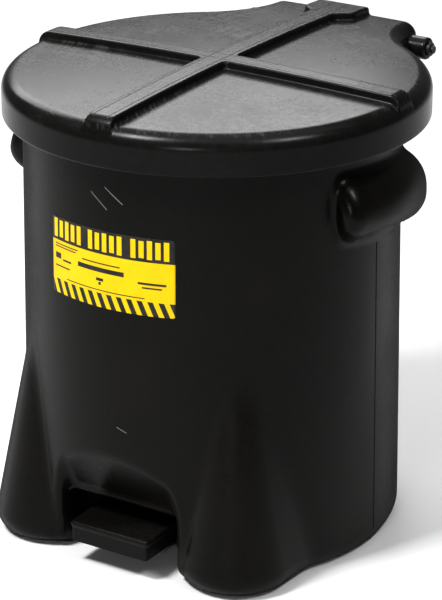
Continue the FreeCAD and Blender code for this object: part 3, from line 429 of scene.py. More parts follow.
def surface_net(field, low, high, step):
    """Points and quads of the field's zero surface: one point in each grid cell that it crosses."""
    axes = [np.arange(a, b + step, step, dtype=np.float32) for a, b in zip(low, high)]
    values = sampled(field, axes)
    inside = values < 0.0
    corners = [(i, j, k) for i in (0, 1) for j in (0, 1) for k in (0, 1)]
    shape = [n - 1 for n in values.shape]
    count = np.zeros(shape, np.uint8)
    for i, j, k in corners:
        count += inside[i:i + shape[0], j:j + shape[1], k:k + shape[2]]
    mixed = (count > 0) & (count < 8)
    cells = np.argwhere(mixed)
    number = np.full(shape, -1, np.int32)
    number[mixed] = np.arange(len(cells))
    total = np.zeros((len(cells), 3))
    crossings = np.zeros(len(cells))
    for a in corners:
        for axis in range(3):
            if a[axis] == 1:
                continue
            b = tuple(1 if n == axis else a[n] for n in range(3))
            at_a = values[tuple((cells + a).T)]
            at_b = values[tuple((cells + b).T)]
            crosses = (at_a < 0.0) != (at_b < 0.0)
            share = np.where(crosses, at_a / np.where(crosses, at_a - at_b, 1.0), 0.0)
            place = np.array(a, float) + share[:, None] * (np.array(b) - np.array(a))
            total += place * crosses[:, None]
            crossings += crosses
    points = np.array(low) + (cells + total / crossings[:, None]) * step
    quads = []
    for axis in range(3):
        first = np.take(inside, range(0, inside.shape[axis] - 1), axis)
        second = np.take(inside, range(1, inside.shape[axis]), axis)
        for starts_inside in (True, False):
            edges = np.argwhere((first == starts_inside) & (second != starts_inside))
            u, v = (axis + 1) % 3, (axis + 2) % 3
            ring = []
            for du, dv in ((1, 1), (0, 1), (0, 0), (1, 0)):
                cell = edges.copy()
                cell[:, u] -= du
                cell[:, v] -= dv
                ring.append(number[tuple(cell.T)])
            order = ring if starts_inside else ring[::-1]
            quads.append(np.stack(order, 1))
    return points, np.concatenate(quads)


def mesh_object(name, points, faces):
    """An object made from points in millimetres and the faces between them."""
    mesh = bpy.data.meshes.new(name)
    mesh.from_pydata((np.asarray(points) * MM).tolist(), [], [list(f) for f in faces])
    mesh.update()
    thing = bpy.data.objects.new(name, mesh)
    bpy.context.scene.collection.objects.link(thing)
    return thing


def apply_modifiers(thing):
    graph = bpy.context.evaluated_depsgraph_get()
    mesh = bpy.data.meshes.new_from_object(thing.evaluated_get(graph))
    thing.modifiers.clear()
    thing.data = mesh


def group_flat_points(thing, normals):
    """Groups the points well away from sharp bends: the only ones that may be thinned out."""
    mesh = thing.data
    ends = np.empty(len(mesh.edges) * 2, np.int32)
    mesh.edges.foreach_get("vertices", ends)
    a, b = ends.reshape(-1, 2).T
    bent_edge = (normals[a] * normals[b]).sum(1) < math.cos(SHARP_BEND)
    bent = np.zeros(len(mesh.vertices), bool)
    bent[a[bent_edge]] = True
    bent[b[bent_edge]] = True
    for _ in range(RINGS_KEPT):
        beside_a, beside_b = b[bent[a]], a[bent[b]]
        bent[beside_a] = True
        bent[beside_b] = True
    group = thing.vertex_groups.new(name="flat")
    group.add(np.flatnonzero(~bent).tolist(), 1.0, "REPLACE")
    return group.name


def moulding(name, field, space, step):
    """A smooth closed piece made from a distance field, in the space between two corners."""
    low, high = space
    points, quads = surface_net(field, low, high, step)
    points, normals = settle(field, points, step)
    thing = mesh_object(name, points, quads.tolist())
    triangles = 2 * len(quads)
    if triangles > MOST_TRIANGLES:
        thin = thing.modifiers.new("thin", "DECIMATE")
        thin.ratio = MOST_TRIANGLES / triangles
        thin.vertex_group = group_flat_points(thing, normals)
        apply_modifiers(thing)
        thing.vertex_groups.clear()
    mesh = thing.data
    points = np.empty(len(mesh.vertices) * 3)
    mesh.vertices.foreach_get("co", points)
    points, normals = settle(field, points.reshape(-1, 3) / MM, 0.5, rounds=2)
    mesh.vertices.foreach_set("co", (points * MM).ravel())
    mesh.shade_smooth()
    mesh.normals_split_custom_set_from_vertices(normals.tolist())
    mesh.update()
    return thing


# ---------------------------------------------------------------- materials
# Noise scales are per metre and bump depths in metres. Colours are linear red, green, blue and 1.

CAN_BLACKS = ((0.0013, 0.0012, 0.0010, 1), (0.0028, 0.0025, 0.0021, 1))
LID_BLACKS = ((0.0016, 0.0017, 0.0015, 1), (0.0036, 0.0038, 0.0034, 1))
PEDAL_BLACKS = ((0.0014, 0.0013, 0.0012, 1), (0.0030, 0.0028, 0.0025, 1))
WIPED_DUST = (0.075, 0.077, 0.073, 1)
# painted shade: the colour that darkens the lid's mould grooves, as shade falls in them
GROOVE_PAINTED_SHADE = (0.003, 0.003, 0.003, 1)
SCRATCH_GREY = (0.13, 0.13, 0.12, 1)
LABEL_YELLOWS = ((0.68, 0.45, 0.002, 1), (0.61, 0.395, 0.002, 1))
LABEL_BLACKS = ((0.010, 0.010, 0.009, 1), (0.022, 0.021, 0.018, 1))
STEEL_PAINTS = ((0.005, 0.005, 0.0055, 1), (0.012, 0.0115, 0.011, 1))
WORN_STEEL = (0.20, 0.18, 0.16, 1)
ZINC_GREYS = ((0.46, 0.47, 0.48, 1), (0.63, 0.64, 0.64, 1))
DULL_ZINC = (0.30, 0.30, 0.29, 1)
NYLON_WHITES = ((0.50, 0.48, 0.42, 1), (0.66, 0.64, 0.57, 1))


def material(name, roughness, metallic=0.0, specular=0.5):
    made = bpy.data.materials.new(name)
    made.use_nodes = True
    shader = made.node_tree.nodes["Principled BSDF"]
    shader.inputs["Roughness"].default_value = roughness
    shader.inputs["Metallic"].default_value = metallic
    shader.inputs["Specular IOR Level"].default_value = specular
    return made, made.node_tree, shader


def node(tree, kind, **settings):
    made = tree.nodes.new(kind)
    for name, value in settings.items():
        if name in made.inputs:
            made.inputs[name].default_value = value
        else:
            setattr(made, name, value)
    return made


def socket_or_value(tree, target, value):
    if isinstance(value, bpy.types.NodeSocket):
        tree.links.new(value, target)
    else:
        target.default_value = value


def maths(tree, operation, a, b=0.0, c=0.0, clamp=False):
    made = tree.nodes.new("ShaderNodeMath")
    made.operation = operation
    made.use_clamp = clamp
    for target, value in zip(made.inputs, (a, b, c)):
        socket_or_value(tree, target, value)
    return made.outputs[0]


def add(tree, a, b):
    return maths(tree, "ADD", a, b)


def subtract(tree, a, b):
    return maths(tree, "SUBTRACT", a, b)


def multiply(tree, a, b):
    return maths(tree, "MULTIPLY", a, b)


def square(tree, value):
    return maths(tree, "POWER", value, 2.0)


def distance_to(tree, value, centre):
    return maths(tree, "ABSOLUTE", subtract(tree, value, centre))


def strongest(tree, masks):
    """The greatest of several masks at each point."""
    total = masks[0]
    for mask in masks[1:]:
        total = maths(tree, "MAXIMUM", total, mask)
    return total


def object_place(tree):
    """X, Y and Z of the shaded point in the part's frame, in millimetres, and the raw vector."""
    place = node(tree, "ShaderNodeTexCoord").outputs["Object"]
    split = node(tree, "ShaderNodeSeparateXYZ")
    tree.links.new(place, split.inputs[0])
    return place, [multiply(tree, out, 1.0 / MM) for out in split.outputs]


def noise_of(tree, place, scale, detail=3.0, roughness=0.5, stretch=(1.0, 1.0, 1.0), turn=(0.0, 0.0, 0.0)):
    mapping = node(tree, "ShaderNodeMapping")
    mapping.inputs["Scale"].default_value = stretch
    mapping.inputs["Rotation"].default_value = turn
    tree.links.new(place, mapping.inputs["Vector"])
    noise = node(tree, "ShaderNodeTexNoise", Scale=scale, Detail=detail, Roughness=roughness)
    tree.links.new(mapping.outputs[0], noise.inputs["Vector"])
    return noise.outputs["Fac"]


def between(tree, value, low, high, to_low=0.0, to_high=1.0):
    """The value carried smoothly from one range to another, and held at both ends."""
    ramp = node(tree, "ShaderNodeMapRange", interpolation_type="SMOOTHSTEP")
    tree.links.new(value, ramp.inputs["Value"])
    for name, number in (("From Min", low), ("From Max", high), ("To Min", to_low), ("To Max", to_high)):
        ramp.inputs[name].default_value = number
    return ramp.outputs["Result"]


def mixed_colour(tree, share, first, second):
    made = node(tree, "ShaderNodeMix", data_type="RGBA")
    socket_or_value(tree, made.inputs[0], share)
    socket_or_value(tree, made.inputs[6], first)
    socket_or_value(tree, made.inputs[7], second)
    return made.outputs[2]


def bumped(tree, shader, heights):
    """Chains bumps, each a height socket with its depth in metres."""
    normal = None
    for height, depth in heights:
        bump = node(tree, "ShaderNodeBump", Strength=1.0, Distance=depth)
        tree.links.new(height, bump.inputs["Height"])
        if normal is not None:
            tree.links.new(normal, bump.inputs["Normal"])
        normal = bump.outputs[0]
    tree.links.new(normal, shader.inputs["Normal"])


def fine_scratches(tree, place, amount):
    """A mask of fine random scratches, in patches, from thin bands cut out of stretched noise."""
    bands = []
    for turn, scale in ((0.5, 9.0), (1.9, 7.0), (2.7, 11.0)):
        streak = noise_of(tree, place, scale, 1.0, 0.4, (1.0, 26.0, 26.0), (turn, turn * 0.7, turn))
        bands.append(between(tree, distance_to(tree, streak, 0.5), 0.0, 0.006, 1.0, 0.0))
    patches = between(tree, noise_of(tree, place, 14.0, 2.0), 0.62 - amount, 0.70)
    return multiply(tree, strongest(tree, bands), patches)


def moulded_plastic(name, blacks, roughness, specular, edge=0.0, scratches=0.05):
    """Satin black polyethylene: fine grain, soft unevenness, uneven gloss and scratches.

    The roughness grows by the edge value where the surface turns away, as a waxy plastic's does.
    """
    dark, light = blacks
    made, tree, shader = material(name, roughness, specular=specular)
    place, _ = object_place(tree)
    cloudy = noise_of(tree, place, 7.0, 4.0, 0.6)
    fine = noise_of(tree, place, 160.0, 3.0, 0.6)
    grain = noise_of(tree, place, 1400.0, 2.0, 0.5)
    orange_peel = noise_of(tree, place, 90.0, 2.0, 0.5)
    scratch = fine_scratches(tree, place, scratches)
    share = maths(tree, "MULTIPLY_ADD", fine, 0.35, multiply(tree, cloudy, 0.65))
    colour = mixed_colour(tree, between(tree, share, 0.3, 0.7), dark, light)
    scraped = tuple(channel * 5.0 for channel in light[:3]) + (1.0,)
    colour = mixed_colour(tree, multiply(tree, scratch, 0.5), colour, scraped)
    tree.links.new(colour, shader.inputs["Base Color"])
    uneven = between(tree, share, 0.3, 0.7, roughness - 0.05, roughness + 0.07)
    facing = node(tree, "ShaderNodeLayerWeight", Blend=0.5).outputs["Facing"]
    uneven = add(tree, uneven, between(tree, facing, 0.5, 0.95, 0.0, edge))
    tree.links.new(maths(tree, "MULTIPLY_ADD", scratch, 0.2, uneven), shader.inputs["Roughness"])
    bumped(tree, shader, [(orange_peel, 0.00003), (grain, 0.00004)])
    return made, tree, shader


def line_mask(tree, value, centre, half_width):
    """1 on a line where the value is at the centre, fading out over the half width."""
    return between(tree, distance_to(tree, value, centre), half_width * 0.5, half_width, 1.0, 0.0)


def wiped_arcs(tree, place, x, y):
    """Faint arcs round two centres, as a cloth leaves, between about -0.5 and 0.5."""
    arcs = []
    for centre_x, centre_y, reach in WIPE_CENTRES:
        square_x = square(tree, subtract(tree, x, centre_x))
        square_y = square(tree, subtract(tree, y, centre_y))
        radius = maths(tree, "SQRT", add(tree, square_x, square_y))
        line = node(tree, "ShaderNodeCombineXYZ")
        tree.links.new(multiply(tree, radius, reach * 0.3), line.inputs[0])
        tree.links.new(multiply(tree, x, 0.005), line.inputs[1])
        tree.links.new(multiply(tree, y, 0.005), line.inputs[2])
        streak = node(tree, "ShaderNodeTexNoise", Scale=1.0, Detail=4.0, Roughness=0.65)
        tree.links.new(line.outputs[0], streak.inputs["Vector"])
        wiped = between(tree, noise_of(tree, place, 9.0, 2.0, stretch=(1.0, 1.3, 1.0)), 0.42, 0.62)
        arcs.append(multiply(tree, subtract(tree, streak.outputs["Fac"], 0.5), wiped))
    return add(tree, *arcs)


def mould_grooves(tree, over_dome, x, y):
    """A mask of the fine grooves along the ribs' tops and beside their feet, which also places the painted
    shade in them.
    """
    on_top = between(tree, over_dome, RIB_HEIGHT - 1.2, RIB_HEIGHT - 0.6)
    on_dome = between(tree, maths(tree, "ABSOLUTE", over_dome), 0.6, 1.2, 1.0, 0.0)
    across = maths(tree, "ABSOLUTE", x)
    along = distance_to(tree, y, RIB_CROSSING_Y)
    long_top = line_mask(tree, across, LONG_RIB_HALF_WIDTH - 5.2, 0.55)
    cross_top = line_mask(tree, along, CROSS_RIB_HALF_WIDTH - 4.4, 0.5)
    long_foot = line_mask(tree, across, LONG_RIB_HALF_WIDTH + 6.0, 0.55)
    cross_foot = line_mask(tree, along, CROSS_RIB_HALF_WIDTH + 6.0, 0.5)
    tops = multiply(tree, strongest(tree, [long_top, cross_top]), on_top)
    feet = multiply(tree, strongest(tree, [long_foot, cross_foot]), on_dome)
    return strongest(tree, [tops, feet])


def lid_plastic():
    """The lid's plastic: glossier, with faint wiped arcs, and fine mould grooves along the ribs with painted
    shade in them.
    """
    made, tree, shader = moulded_plastic("lid_plastic_look", LID_BLACKS, 0.24, 0.075, scratches=-0.02)
    place, (x, y, z) = object_place(tree)
    from_crossing = add(tree, square(tree, x), square(tree, subtract(tree, y, RIB_CROSSING_Y)))
    fall = multiply(tree, from_crossing, 0.5 / LID_CROWN_RADIUS)
    over_dome = add(tree, subtract(tree, z, LID_TOP_Z), fall)
    near_dome = between(tree, maths(tree, "ABSOLUTE", over_dome), 1.5, 3.0, 1.0, 0.0)
    arcs = multiply(tree, wiped_arcs(tree, place, x, y), near_dome)
    grooves = mould_grooves(tree, over_dome, x, y)
    roughness = shader.inputs["Roughness"].links[0].from_socket
    roughness = add(tree, roughness, multiply(tree, arcs, 0.12))
    roughness = add(tree, roughness, multiply(tree, grooves, 0.3))
    tree.links.new(roughness, shader.inputs["Roughness"])
    dust = maths(tree, "MULTIPLY", maths(tree, "MAXIMUM", arcs, 0.0), 0.9, clamp=True)
    colour = shader.inputs["Base Color"].links[0].from_socket
    colour = mixed_colour(tree, dust, colour, WIPED_DUST)
    # painted shade: the grooves are darkened with a shade colour, standing in for the shade that falls in
    # them
    colour = mixed_colour(tree, grooves, colour, GROOVE_PAINTED_SHADE)
    tree.links.new(colour, shader.inputs["Base Color"])
    cut = node(tree, "ShaderNodeBump", Strength=1.0, Distance=-0.0006)
    tree.links.new(grooves, cut.inputs["Height"])
    tree.links.new(shader.inputs["Normal"].links[0].from_socket, cut.inputs["Normal"])
    tree.links.new(cut.outputs[0], shader.inputs["Normal"])
    return made


def can_plastic():
    """The can's plastic, with a few plain scratches on its front."""
    made, tree, shader = moulded_plastic("can_plastic_look", CAN_BLACKS, 0.28, 0.07, edge=0.45)
    _, (x, y, z) = object_place(tree)
    angle = maths(tree, "ARCTAN2", x, subtract(tree, BODY_Y, y))
    arc = multiply(tree, angle, BODY_TOP_RADIUS)
    marks = []
    for (arc_0, z_0), (arc_1, z_1), half_width in SCRATCHES:
        length = math.hypot(arc_1 - arc_0, z_1 - z_0)
        run = (arc_1 - arc_0) / length
        rise = (z_1 - z_0) / length
        from_arc = subtract(tree, arc, arc_0)
        from_z = subtract(tree, z, z_0)
        along = add(tree, multiply(tree, from_arc, run), multiply(tree, from_z, rise))
        off = subtract(tree, multiply(tree, from_arc, rise), multiply(tree, from_z, run))
        past_end = subtract(tree, distance_to(tree, along, length / 2), length / 2)
        near = between(tree, maths(tree, "ABSOLUTE", off), half_width * 0.4, half_width, 1.0, 0.0)
        marks.append(multiply(tree, near, between(tree, past_end, 0.0, 1.5, 1.0, 0.0)))
    in_front = maths(tree, "LESS_THAN", y, BODY_Y)
    marked = multiply(tree, strongest(tree, marks), in_front)
    colour = shader.inputs["Base Color"].links[0].from_socket
    tree.links.new(mixed_colour(tree, marked, colour, SCRATCH_GREY), shader.inputs["Base Color"])
    return made


def print_area(tree, u, v, left, right, bottom, top):
    """A mask of a rectangle on the label, with its edges as soft as ink's."""
    after_left = between(tree, u, left - INK_EDGE, left + INK_EDGE)
    before_right = between(tree, u, right - INK_EDGE, right + INK_EDGE, 1.0, 0.0)
    over_bottom = between(tree, v, bottom - INK_EDGE, bottom + INK_EDGE)
    under_top = between(tree, v, top - INK_EDGE, top + INK_EDGE, 1.0, 0.0)
    return multiply(tree, multiply(tree, after_left, before_right), multiply(tree, over_bottom, under_top))


def label_ink(tree, u, v):
    """A mask of the black print: slanted stripes below, dashes, and a band above with bars left out of it."""
    slant = STRIPE_SLANT * LABEL_HEIGHT / LABEL_WIDTH
    wave = maths(tree, "FRACT", multiply(tree, maths(tree, "MULTIPLY_ADD", v, slant, u), STRIPES))
    stripe = multiply(tree, between(tree, wave, 0.02, 0.06), between(tree, wave, 0.54, 0.58, 1.0, 0.0))
    below = between(tree, v, STRIPE_TOP - INK_EDGE, STRIPE_TOP + INK_EDGE, 1.0, 0.0)
    band = between(tree, v, BAND_BOTTOM - INK_EDGE, BAND_BOTTOM + INK_EDGE)
    dashes = []
    for left, length, bottom, height in PRINTED_DASHES:
        dashes.append(print_area(tree, u, v, left, left + length, bottom, bottom + height))
    bars = []
    for group in range(BAR_GROUPS):
        for bar in range(BARS_IN_GROUP):
            left = FIRST_BAR + group * GROUP_PITCH + bar * BAR_PITCH
            inset = SHORT_BAR_INSET if bar % 2 else 0.0
            bottom = BAND_BOTTOM + BAR_CLEARANCE + inset
            bars.append(print_area(tree, u, v, left, left + BAR_WIDTH, bottom, BAR_TOP - inset))
    black = strongest(tree, [multiply(tree, stripe, below), band] + dashes)
    return multiply(tree, black, subtract(tree, 1.0, strongest(tree, bars)))


def label_look():
    """A printed sticker: a black band with plain yellow bars, a yellow panel, and hazard stripes below."""
    made, tree, shader = material("label_look", 0.32, specular=0.08)
    split = node(tree, "ShaderNodeSeparateXYZ")
    tree.links.new(node(tree, "ShaderNodeUVMap", uv_map="print").outputs[0], split.inputs[0])
    ink = label_ink(tree, split.outputs[0], split.outputs[1])
    place, _ = object_place(tree)
    worn = noise_of(tree, place, 60.0, 4.0, 0.6)
    yellow = mixed_colour(tree, between(tree, worn, 0.3, 0.8), *LABEL_YELLOWS)
    black = mixed_colour(tree, between(tree, worn, 0.3, 0.7), *LABEL_BLACKS)
    tree.links.new(mixed_colour(tree, ink, yellow, black), shader.inputs["Base Color"])
    tree.links.new(between(tree, worn, 0.3, 0.7, 0.27, 0.40), shader.inputs["Roughness"])
    bumped(tree, shader, [(noise_of(tree, place, 900.0, 2.0), 0.00003), (ink, 0.00002)])
    return made


def painted_steel():
    """Black painted steel, worn through to the metal in small spots."""
    made, tree, shader = material("painted_steel_look", 0.42, specular=0.15)
    place, _ = object_place(tree)
    cloudy = noise_of(tree, place, 30.0, 4.0, 0.6)
    worn = between(tree, noise_of(tree, place, 120.0, 4.0, 0.7), 0.66, 0.72)
    colour = mixed_colour(tree, between(tree, cloudy, 0.3, 0.7), *STEEL_PAINTS)
    tree.links.new(mixed_colour(tree, worn, colour, WORN_STEEL), shader.inputs["Base Color"])
    tree.links.new(worn, shader.inputs["Metallic"])
    tree.links.new(between(tree, cloudy, 0.3, 0.7, 0.36, 0.5), shader.inputs["Roughness"])
    bumped(tree, shader, [(noise_of(tree, place, 420.0, 3.0), 0.00010)])
    return made


def zinc_steel():
    """Zinc-plated steel, spangled, dull in patches and drawn along its length."""
    made, tree, shader = material("zinc_steel_look", 0.32, metallic=1.0)
    place, _ = object_place(tree)
    spangle = noise_of(tree, place, 220.0, 3.0, 0.6)
    drawn = noise_of(tree, place, 500.0, 2.0, 0.6, (1.0, 1.0, 0.06))
    dull = between(tree, noise_of(tree, place, 40.0, 4.0, 0.6), 0.45, 0.7)
    bright = mixed_colour(tree, spangle, *ZINC_GREYS)
    tree.links.new(mixed_colour(tree, dull, bright, DULL_ZINC), shader.inputs["Base Color"])
    roughness = between(tree, spangle, 0.2, 0.8, 0.24, 0.38)
    tree.links.new(maths(tree, "MULTIPLY_ADD", dull, 0.22, roughness), shader.inputs["Roughness"])
    bumped(tree, shader, [(drawn, 0.00006), (spangle, 0.00003)])
    return made


def nylon():
    """Off-white nylon, slightly see-through."""
    made, tree, shader = material("nylon_look", 0.38)
    place, _ = object_place(tree)
    cloudy = noise_of(tree, place, 90.0, 3.0, 0.6)
    tree.links.new(mixed_colour(tree, cloudy, *NYLON_WHITES), shader.inputs["Base Color"])
    shader.inputs["Subsurface Weight"].default_value = 0.15
    shader.inputs["Subsurface Radius"].default_value = (0.003, 0.002, 0.0015)
    bumped(tree, shader, [(noise_of(tree, place, 700.0, 2.0), 0.00004)])
    return made


# ---------------------------------------------------------------- label, mould lines and pedal

LABEL_TOP_Z = 354.0
LABEL_HEIGHT = 77.0
LABEL_WIDTH = 140.0
LABEL_CORNER = 2.5
LABEL_LIFT = 0.05
LABEL_THICKNESS = 0.4
STRIPES = 13.0
STRIPE_SLANT = 0.42
STRIPE_TOP = 0.185
BAND_BOTTOM = 0.695
BAR_GROUPS = 3
BARS_IN_GROUP = 5
FIRST_BAR = 0.018
GROUP_PITCH = 0.336
BAR_PITCH = 0.0585
BAR_WIDTH = 0.036
BAR_TOP = 0.972
BAR_CLEARANCE = 0.035          # from the bottom of the band
SHORT_BAR_INSET = 0.012        # every second bar is this much shorter at each end
INK_EDGE = 0.0022
PRINTED_DASHES = [        # start and length along the label, height above its bottom, and thickness
    (0.030, 0.060, 0.455, 0.075), (0.110, 0.085, 0.440, 0.026), (0.030, 0.150, 0.350, 0.020),
    (0.030, 0.230, 0.640, 0.016), (0.030, 0.210, 0.605, 0.016), (0.300, 0.310, 0.560, 0.018),
    (0.260, 0.380, 0.455, 0.062), (0.420, 0.060, 0.340, 0.040), (0.440, 0.020, 0.290, 0.040),
    (0.740, 0.200, 0.400, 0.030), (0.770, 0.140, 0.350, 0.022), (0.150, 0.640, 0.215, 0.014),
]
WIPE_CENTRES = ((-150.0, -330.0, 1.0), (190.0, 60.0, 0.8))    # x, y and how close the arcs are
SCRATCHES = [             # two ends, each as distance round the can and height, then half a width
    ((-16.0, 390.0), (1.0, 376.0), 0.5),
    ((0.0, 397.0), (18.0, 384.0), 0.7),
    ((11.0, 157.0), (20.0, 153.5), 0.5),
]


def on_can(arc, z, lift):
    """A point over the front of the can, from the distance round it to the right and the height."""
    radius = drum_radius(z) + lift
    angle = arc / BODY_TOP_RADIUS
    return radius * math.sin(angle), BODY_Y - radius * math.cos(angle), z


def front_label():
    """The sticker: a closed thin sheet with rounded corners that follows the can."""
    columns = 72
    rows = 28
    points = []
    prints = []
    for lift in (LABEL_LIFT, LABEL_LIFT + LABEL_THICKNESS):
        for row in range(rows + 1):
            v = 0.5 - 0.5 * math.cos(math.pi * row / rows)
            z = LABEL_TOP_Z - LABEL_HEIGHT * (1.0 - v)
            into_corner = max(0.0, LABEL_CORNER - min(v, 1.0 - v) * LABEL_HEIGHT)
            inset = LABEL_CORNER - math.sqrt(LABEL_CORNER ** 2 - into_corner ** 2)
            half = LABEL_WIDTH / 2 - inset
            for column in range(columns + 1):
                arc = mix(-half, half, column / columns)
                points.append(on_can(arc, z, lift))
                prints.append((arc / LABEL_WIDTH + 0.5, v))
    wide = columns + 1
    layer = wide * (rows + 1)
    faces = []
    for row in range(rows):
        for column in range(columns):
            a = row * wide + column
            faces.append((a, a + wide, a + wide + 1, a + 1))
            faces.append((a + layer, a + layer + 1, a + layer + wide + 1, a + layer + wide))
    rim = list(range(wide))
    rim += [row * wide + columns for row in range(1, rows + 1)]
    rim += [rows * wide + column for column in range(columns - 1, -1, -1)]
    rim += [row * wide for row in range(rows - 1, 0, -1)]
    for a, b in zip(rim, rim[1:] + rim[:1]):
        faces.append((a, b, b + layer, a + layer))
    label = mesh_object("front_label_print", points, faces)
    uv = label.data.uv_layers.new(name="print")
    for loop in label.data.loops:
        uv.data[loop.index].uv = prints[loop.vertex_index]
    label.data.shade_smooth()
    return label


def mould_lines():
    """The fine raised line that the mould's joint leaves down both sides of the can."""
    points = []
    faces = []
    half_width = 0.75
    height = 0.5
    sunk = 0.6
    section = [(-half_width, -sunk), (-half_width * 0.8, 0.05), (-half_width * 0.3, height),
               (half_width * 0.3, height), (half_width * 0.8, 0.05), (half_width, -sunk)]
    count = len(section)
    for side in (-1.0, 1.0):
        path = []
        for z in np.arange(BASE_ROUNDING * 0.55, HANDLE_BOTTOM_Z - 4.0, 3.0):
            in_base = max(0.0, BASE_ROUNDING - z)
            inset = BASE_ROUNDING - math.sqrt(BASE_ROUNDING ** 2 - in_base ** 2)
            path.append((drum_radius(z) - inset, z))
        start = len(points)
        for number, (radius, z) in enumerate(path):
            fade = min(1.0, number / 3.0, (len(path) - 1 - number) / 3.0)
            for across, out in section:
                points.append((side * (radius + mix(-sunk, out, fade)), BODY_Y + across, z))
        for number in range(len(path) - 1):
            for corner in range(count):
                a = start + number * count + corner
                b = start + number * count + (corner + 1) % count
                face = (a, b, b + count, a + count)
                faces.append(face if side > 0 else face[::-1])
    lines = mesh_object("mould_lines", points, faces)
    lines.data.shade_smooth()
    return lines


PEDAL_HALF_WIDTH = 45.0
PEDAL_FRONT_Y = LOW.y + 11.0
PEDAL_DEPTH = 66.0
PEDAL_TOP_Z = 44.0
PEDAL_HEIGHT = 21.5
PEDAL_WALL = 4.0
PEDAL_EDGE = 2.2
PEDAL_LIP = 6.0
PEDAL_LIP_DEPTH = 1.2
PEDAL_LIP_BLEND = 1.0
PEDAL_RIM_BLEND = 0.8
PEDAL_INNER_ROUNDING = 1.5
PEDAL_BACK_Y = PEDAL_FRONT_Y + PEDAL_DEPTH
PEDAL_LOW_Z = PEDAL_TOP_Z - PEDAL_HEIGHT


def pedal_field(x, y, z):
    """The moulded cap over the pedal plate, open below and behind."""
    sides = round_max(np.abs(x) - PEDAL_HALF_WIDTH, PEDAL_FRONT_Y - y, PEDAL_EDGE * 1.5)
    lip = round_max(round_max(sides, z - PEDAL_TOP_Z, PEDAL_EDGE), PEDAL_TOP_Z - PEDAL_LIP - z, PEDAL_EDGE)
    block = soft_min(round_max(sides + PEDAL_LIP_DEPTH, z - PEDAL_TOP_Z, PEDAL_EDGE), lip, PEDAL_LIP_BLEND)
    block = round_max(block, np.maximum(PEDAL_LOW_Z - z, y - PEDAL_BACK_Y), PEDAL_RIM_BLEND)
    hollow = np.maximum(np.abs(x) - PEDAL_HALF_WIDTH, PEDAL_FRONT_Y - y) + PEDAL_WALL
    hollow = round_max(hollow, z - PEDAL_TOP_Z + PEDAL_WALL, PEDAL_INNER_ROUNDING)
    return soft_max(block, -hollow, PEDAL_RIM_BLEND)


def close_ends(lines):
    """Closes the open ends of tubes made of rings."""
    work = bmesh.new()
    work.from_mesh(lines.data)
    bmesh.ops.holes_fill(work, edges=[e for e in work.edges if e.is_boundary], sides=0)
    bmesh.ops.recalc_face_normals(work, faces=work.faces)
    work.to_mesh(lines.data)
    work.free()


def paint(thing, look):
    """Gives an object one material in place of any it had."""
    thing.data.materials.clear()
    thing.data.materials.append(look)


# ---------------------------------------------------------------- the object

LOOKS = {
    "can_plastic": can_plastic(),
    "lid_plastic": lid_plastic(),
    "pedal_plastic": moulded_plastic("pedal_plastic_look", PEDAL_BLACKS, 0.30, 0.07, edge=0.45)[0],
    "label_yellow": label_look(),
    "bush_nylon": nylon(),
    "black_steel": painted_steel(),
    "zinc_steel": zinc_steel(),
}

NODE_SLOTS = {part["node"]: part["material_slot"] for part in frame["record"]["subparts"]}
BLACKENED_NODES = ("hinge_rod", "hinge_rod_push_nuts")
for name, thing in frame["nodes"].items():
    paint(thing, LOOKS["black_steel" if name in BLACKENED_NODES else NODE_SLOTS[name]])

CAN_SPACE = ((-216.0, LOW.y - 3.0, -4.0), (216.0, HIGH.y + 4.0, RIM_Z + 4.0))
LID_SPACE = ((-214.0, LOW.y - 3.0, LID_SKIRT_Z - 14.0), (214.0, HIGH.y + 4.0, HIGH.z + 4.0))
PEDAL_SPACE = ((-48.0, PEDAL_FRONT_Y - 3.0, PEDAL_LOW_Z - 3.0), (48.0, PEDAL_BACK_Y + 3.0, PEDAL_TOP_Z + 3.0))

can = moulding("can_moulding", can_field, CAN_SPACE, CAN_STEP)
lid = moulding("lid_moulding", lid_field, LID_SPACE, LID_STEP)
pad = moulding("pedal_moulding", pedal_field, PEDAL_SPACE, PEDAL_STEP)
label = front_label()
lines = mould_lines()
close_ends(lines)

MADE_HERE = (
    (can, "can", "can_plastic"),
    (lid, "lid", "lid_plastic"),
    (pad, "pedal", "pedal_plastic"),
    (label, "can", "label_yellow"),
    (lines, "can", "can_plastic"),
)
for thing, body, slot in MADE_HERE:
    paint(thing, LOOKS[slot])
    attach(thing, body)
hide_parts("body_shell")
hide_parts("lid_shell")
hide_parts("foot_pedal")
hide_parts("front_label")


# ---------------------------------------------------------------- camera, floor and light

CAMERA_AZIMUTH = math.radians(32.24)
CAMERA_ELEVATION = math.radians(20.84)
CAMERA_DISTANCE = 2.75
CAMERA_TARGET = Vector((1.5, RIB_CROSSING_Y + 1.0, LID_TOP_Z - 183.3)) * MM
CAMERA_TILT = math.atan(0.0217)       # the photograph's middle lies this far below the target
CAMERA_LENS = 165.7
FLOOR_REACH = 9000.0
FLOOR_GREY = 0.56
WORLD_LIGHT = 0.12
LIGHTS = (      # azimuth and elevation in degrees, distance, width and height in metres, strength in watts
    ("overhead", 0.0, 88.0, 2.6, 3.0, 3.0, 40.0),
    ("behind", 227.0, 35.0, 3.4, 2.6, 1.5, 104.0),
    ("key", -26.0, 57.0, 2.7, 0.6, 0.6, 140.0),
    ("right", 78.0, 50.0, 2.6, 0.5, 0.5, 42.0),
    ("front_low", 16.0, 12.0, 3.2, 0.3, 0.3, 18.0),
)


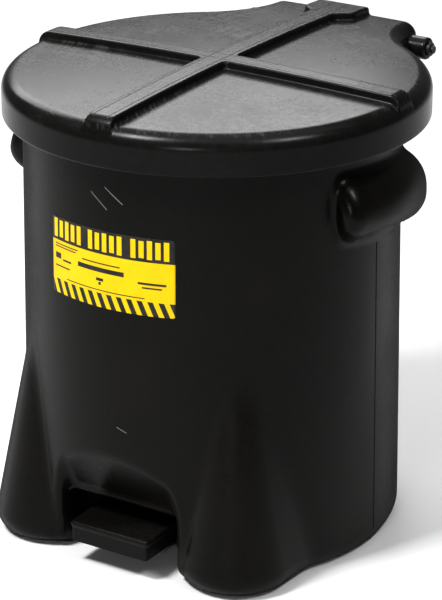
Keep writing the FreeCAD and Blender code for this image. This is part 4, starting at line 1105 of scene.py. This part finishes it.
def camera():
    """The camera, aimed so that the object lies in the frame as it does in the photograph."""
    data = bpy.data.cameras.new("camera")
    data.lens = CAMERA_LENS
    data.sensor_fit = "VERTICAL"
    data.sensor_height = 36.0
    data.clip_end = 50.0
    thing = bpy.data.objects.new("camera", data)
    bpy.context.scene.collection.objects.link(thing)
    back = Vector((math.sin(CAMERA_AZIMUTH) * math.cos(CAMERA_ELEVATION),
                   -math.cos(CAMERA_AZIMUTH) * math.cos(CAMERA_ELEVATION), math.sin(CAMERA_ELEVATION)))
    right = Vector((math.cos(CAMERA_AZIMUTH), math.sin(CAMERA_AZIMUTH), 0.0))
    turn = Matrix.Rotation(CAMERA_TILT, 3, right)
    aim_back = turn.inverted() @ back
    up = aim_back.cross(right)
    thing.matrix_world = Matrix.Translation(CAMERA_TARGET + back * CAMERA_DISTANCE) @ Matrix(
        (right, up, aim_back)).transposed().to_4x4()
    bpy.context.scene.camera = thing


def softbox(name, azimuth, elevation, distance, width, height, strength):
    """A rectangular light that faces the object, placed by direction from its middle."""
    data = bpy.data.lights.new(name, "AREA")
    data.shape = "RECTANGLE"
    data.size = width
    data.size_y = height
    data.energy = strength
    thing = bpy.data.objects.new(name, data)
    bpy.context.scene.collection.objects.link(thing)
    turn = math.radians(azimuth)
    rise = math.radians(elevation)
    out = Vector((math.sin(turn) * math.cos(rise), -math.cos(turn) * math.cos(rise), math.sin(rise)))
    thing.location = CAMERA_TARGET + out * distance
    thing.rotation_euler = out.to_track_quat("Z", "Y").to_euler()


def studio():
    """A plain pale floor, a dim white world and soft lights."""
    corners = [(x * FLOOR_REACH, y * FLOOR_REACH, 0.0) for x, y in ((-1, -1), (1, -1), (1, 1), (-1, 1))]
    floor = mesh_object("studio_floor", corners, [(0, 1, 2, 3)])
    look, _, shader = material("floor_look", 0.65, specular=0.2)
    shader.inputs["Base Color"].default_value = (FLOOR_GREY, FLOOR_GREY, FLOOR_GREY, 1)
    paint(floor, look)
    world = bpy.data.worlds.new("studio")
    world.use_nodes = True
    world.node_tree.nodes["Background"].inputs["Color"].default_value = (1, 1, 1, 1)
    world.node_tree.nodes["Background"].inputs["Strength"].default_value = WORLD_LIGHT
    bpy.context.scene.world = world
    for light in LIGHTS:
        softbox(*light)
    bpy.context.scene.view_settings.view_transform = "Standard"


camera()
studio()
